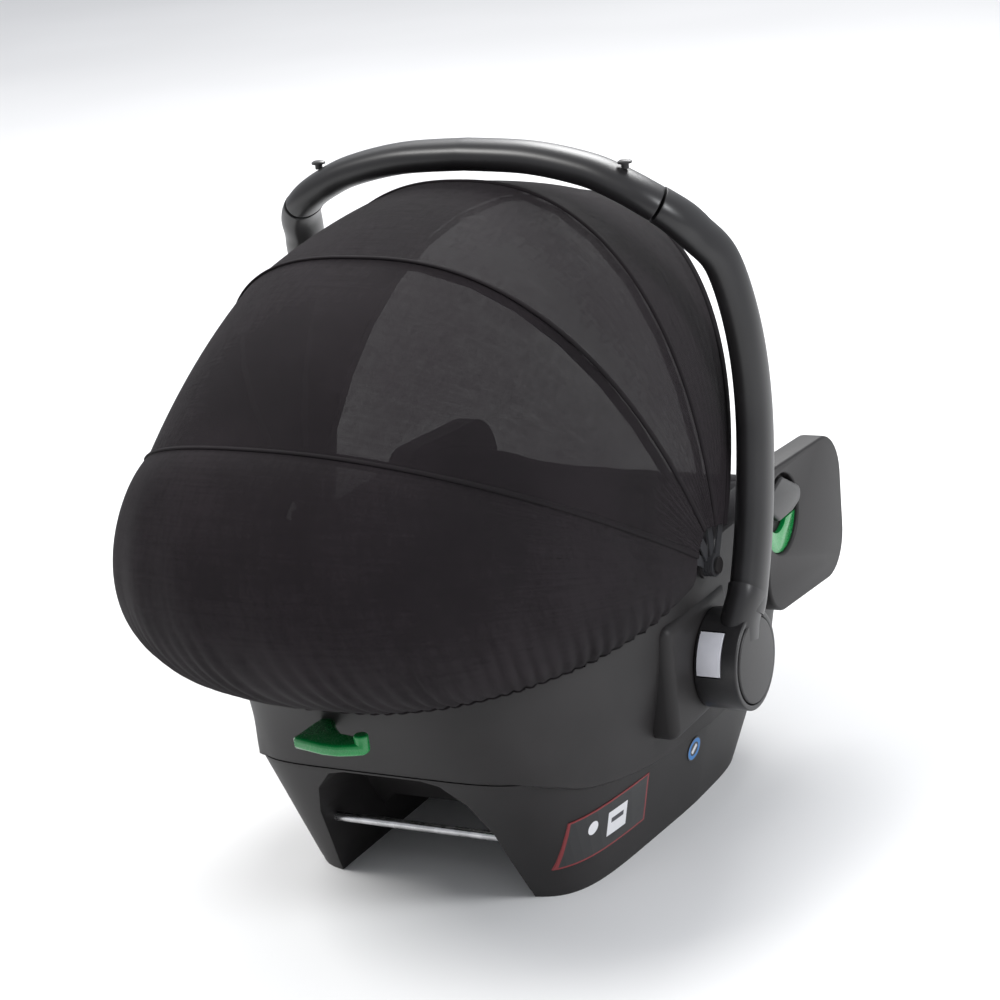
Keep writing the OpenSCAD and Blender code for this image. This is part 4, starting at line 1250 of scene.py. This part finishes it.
# ---------------------------------------------------------------- stage
def build_stage():
    """A pale floor, soft studio lights and the camera."""
    deselect()
    bpy.ops.mesh.primitive_plane_add(size=30, location=(0, 0, 0))
    floor = added("floor")
    paper = Finish("pale floor", (0.80, 0.80, 0.80), 0.75, Specular_IOR_Level=0.1)
    grey = paper.ramp(paper.noise(1.1, 2), 0.3, 0.7)
    paper.feed("Base Color", paper.blend(grey, (0.80, 0.80, 0.80), (0.83, 0.83, 0.83)))
    floor.data.materials.append(paper.material)
    scene = bpy.context.scene
    world = scene.world = scene.world or bpy.data.worlds.new("studio")
    world.use_nodes = True
    back = world.node_tree.nodes["Background"]
    back.inputs["Color"].default_value = (0.93, 0.95, 1.0, 1)
    back.inputs["Strength"].default_value = 0.62
    centre = place(0, -20, 280)
    for name, where, size, watts, tone in (
            ("key", (1.5, 1.6, 3.2), 1.3, 105, (1, 0.99, 0.97)),
            ("window", (-2.9, 0.2, 1.9), 1.1, 62, (0.96, 0.98, 1)),
            ("rim", (0.6, -2.6, 2.2), 1.4, 60, (1, 1, 1)),
            ("backdrop", None, 4, 70, (1, 1, 1))):
        at = centre + Vector(where) if where else Vector((1.4, -3.6, 3.0))
        bpy.ops.object.light_add(type="AREA", location=at)
        lamp = added(name)
        lamp.data.size, lamp.data.energy, lamp.data.color = size, watts, tone
        if where:
            lamp.rotation_euler = Vector(where).to_track_quat("Z", "Y").to_euler()
    eye = place(-1092.4, 1890.8, 985.5)
    aim = place(-4, -30, 284)
    ahead = (aim - eye).normalized()
    side = ahead.cross(Vector((0.10073, -0.39217, 0.91436))).normalized()
    bpy.ops.object.camera_add(location=eye)
    camera = bpy.context.object
    camera.rotation_euler = Matrix((side, side.cross(ahead), -ahead)).transposed().to_euler()
    camera.data.lens = 97
    scene.camera = camera
    scene.view_settings.view_transform = "Standard"
    scene.view_settings.look = "None"


# ---------------------------------------------------------------- operators and panel
class PieceOperator:
    """Shared behaviour: build the pieces, and say when it is done."""

    bl_options = {"REGISTER", "UNDO"}

    def execute(self, context):
        if not FINISH:
            FINISH.update(finishes())
        for build in self.builds:
            build()
        return {"FINISHED"}


class CARSEAT_OT_shells(PieceOperator, bpy.types.Operator):
    """Build the shell, its base and the brackets of the pivots"""
    bl_idname, bl_label = "carseat.shells", "Shells"
    builds = (build_shell, build_base, build_brackets)


class CARSEAT_OT_handle(PieceOperator, bpy.types.Operator):
    """Build the carrying handle, its hubs and its pegs"""
    bl_idname, bl_label = "carseat.handle", "Handle"
    builds = (build_handle, build_hubs, build_pegs)


class CARSEAT_OT_belt_guides(PieceOperator, bpy.types.Operator):
    """Build the guides for the car's belts"""
    bl_idname, bl_label = "carseat.belt_guides", "Belt guides"
    builds = (build_belt_guides,)


class CARSEAT_OT_hood(PieceOperator, bpy.types.Operator):
    """Sew the hood's panels, seams and gathered hem"""
    bl_idname, bl_label = "carseat.hood", "Hood"
    builds = (build_hood,)


class CARSEAT_OT_padding(PieceOperator, bpy.types.Operator):
    """Fill the cover, the infant insert and the headrest"""
    bl_idname, bl_label = "carseat.padding", "Padding"
    builds = (build_cover, build_insert, build_headrest)


class CARSEAT_OT_harness(PieceOperator, bpy.types.Operator):
    """Lay the harness and its pads"""
    bl_idname, bl_label = "carseat.harness", "Harness"
    builds = (build_harness,)


class CARSEAT_OT_kept_pieces(PieceOperator, bpy.types.Operator):
    """Give the pieces that stay as designed their finishes"""
    bl_idname, bl_label = "carseat.kept_pieces", "Metal and small parts"
    builds = (paint_kept,)


class CARSEAT_OT_stage(PieceOperator, bpy.types.Operator):
    """Set the floor, the lights and the camera"""
    bl_idname, bl_label = "carseat.stage", "Stage"
    builds = (build_stage,)


OPERATORS = (CARSEAT_OT_shells, CARSEAT_OT_handle, CARSEAT_OT_belt_guides, CARSEAT_OT_hood,
             CARSEAT_OT_padding, CARSEAT_OT_harness, CARSEAT_OT_kept_pieces, CARSEAT_OT_stage)


class CARSEAT_PT_panel(bpy.types.Panel):
    """Sizes, colours and the steps that build the seat"""
    bl_idname, bl_label = "CARSEAT_PT_panel", "Infant car seat"
    bl_space_type, bl_region_type, bl_category = "VIEW_3D", "UI", "Car seat"

    def draw(self, context):
        for group in (context.scene.car_seat_sizes, context.scene.car_seat_colours):
            for name in group.__annotations__:
                self.layout.prop(group, name)
        for operator in OPERATORS:
            self.layout.operator(operator.bl_idname)


CLASSES = (CarSeatSizes, CarSeatColours) + OPERATORS + (CARSEAT_PT_panel,)


def register():
    for cls in CLASSES:
        bpy.utils.register_class(cls)
    bpy.types.Scene.car_seat_sizes = bpy.props.PointerProperty(type=CarSeatSizes)
    bpy.types.Scene.car_seat_colours = bpy.props.PointerProperty(type=CarSeatColours)


def unregister():
    del bpy.types.Scene.car_seat_sizes, bpy.types.Scene.car_seat_colours
    for cls in reversed(CLASSES):
        bpy.utils.unregister_class(cls)


def main():
    register()
    for operator in OPERATORS:
        call = getattr(bpy.ops.carseat, operator.bl_idname.split(".")[1])
        if call() != {"FINISHED"}:
            raise RuntimeError(operator.bl_label + " didn't finish")


if __name__ == "__main__":
    main()
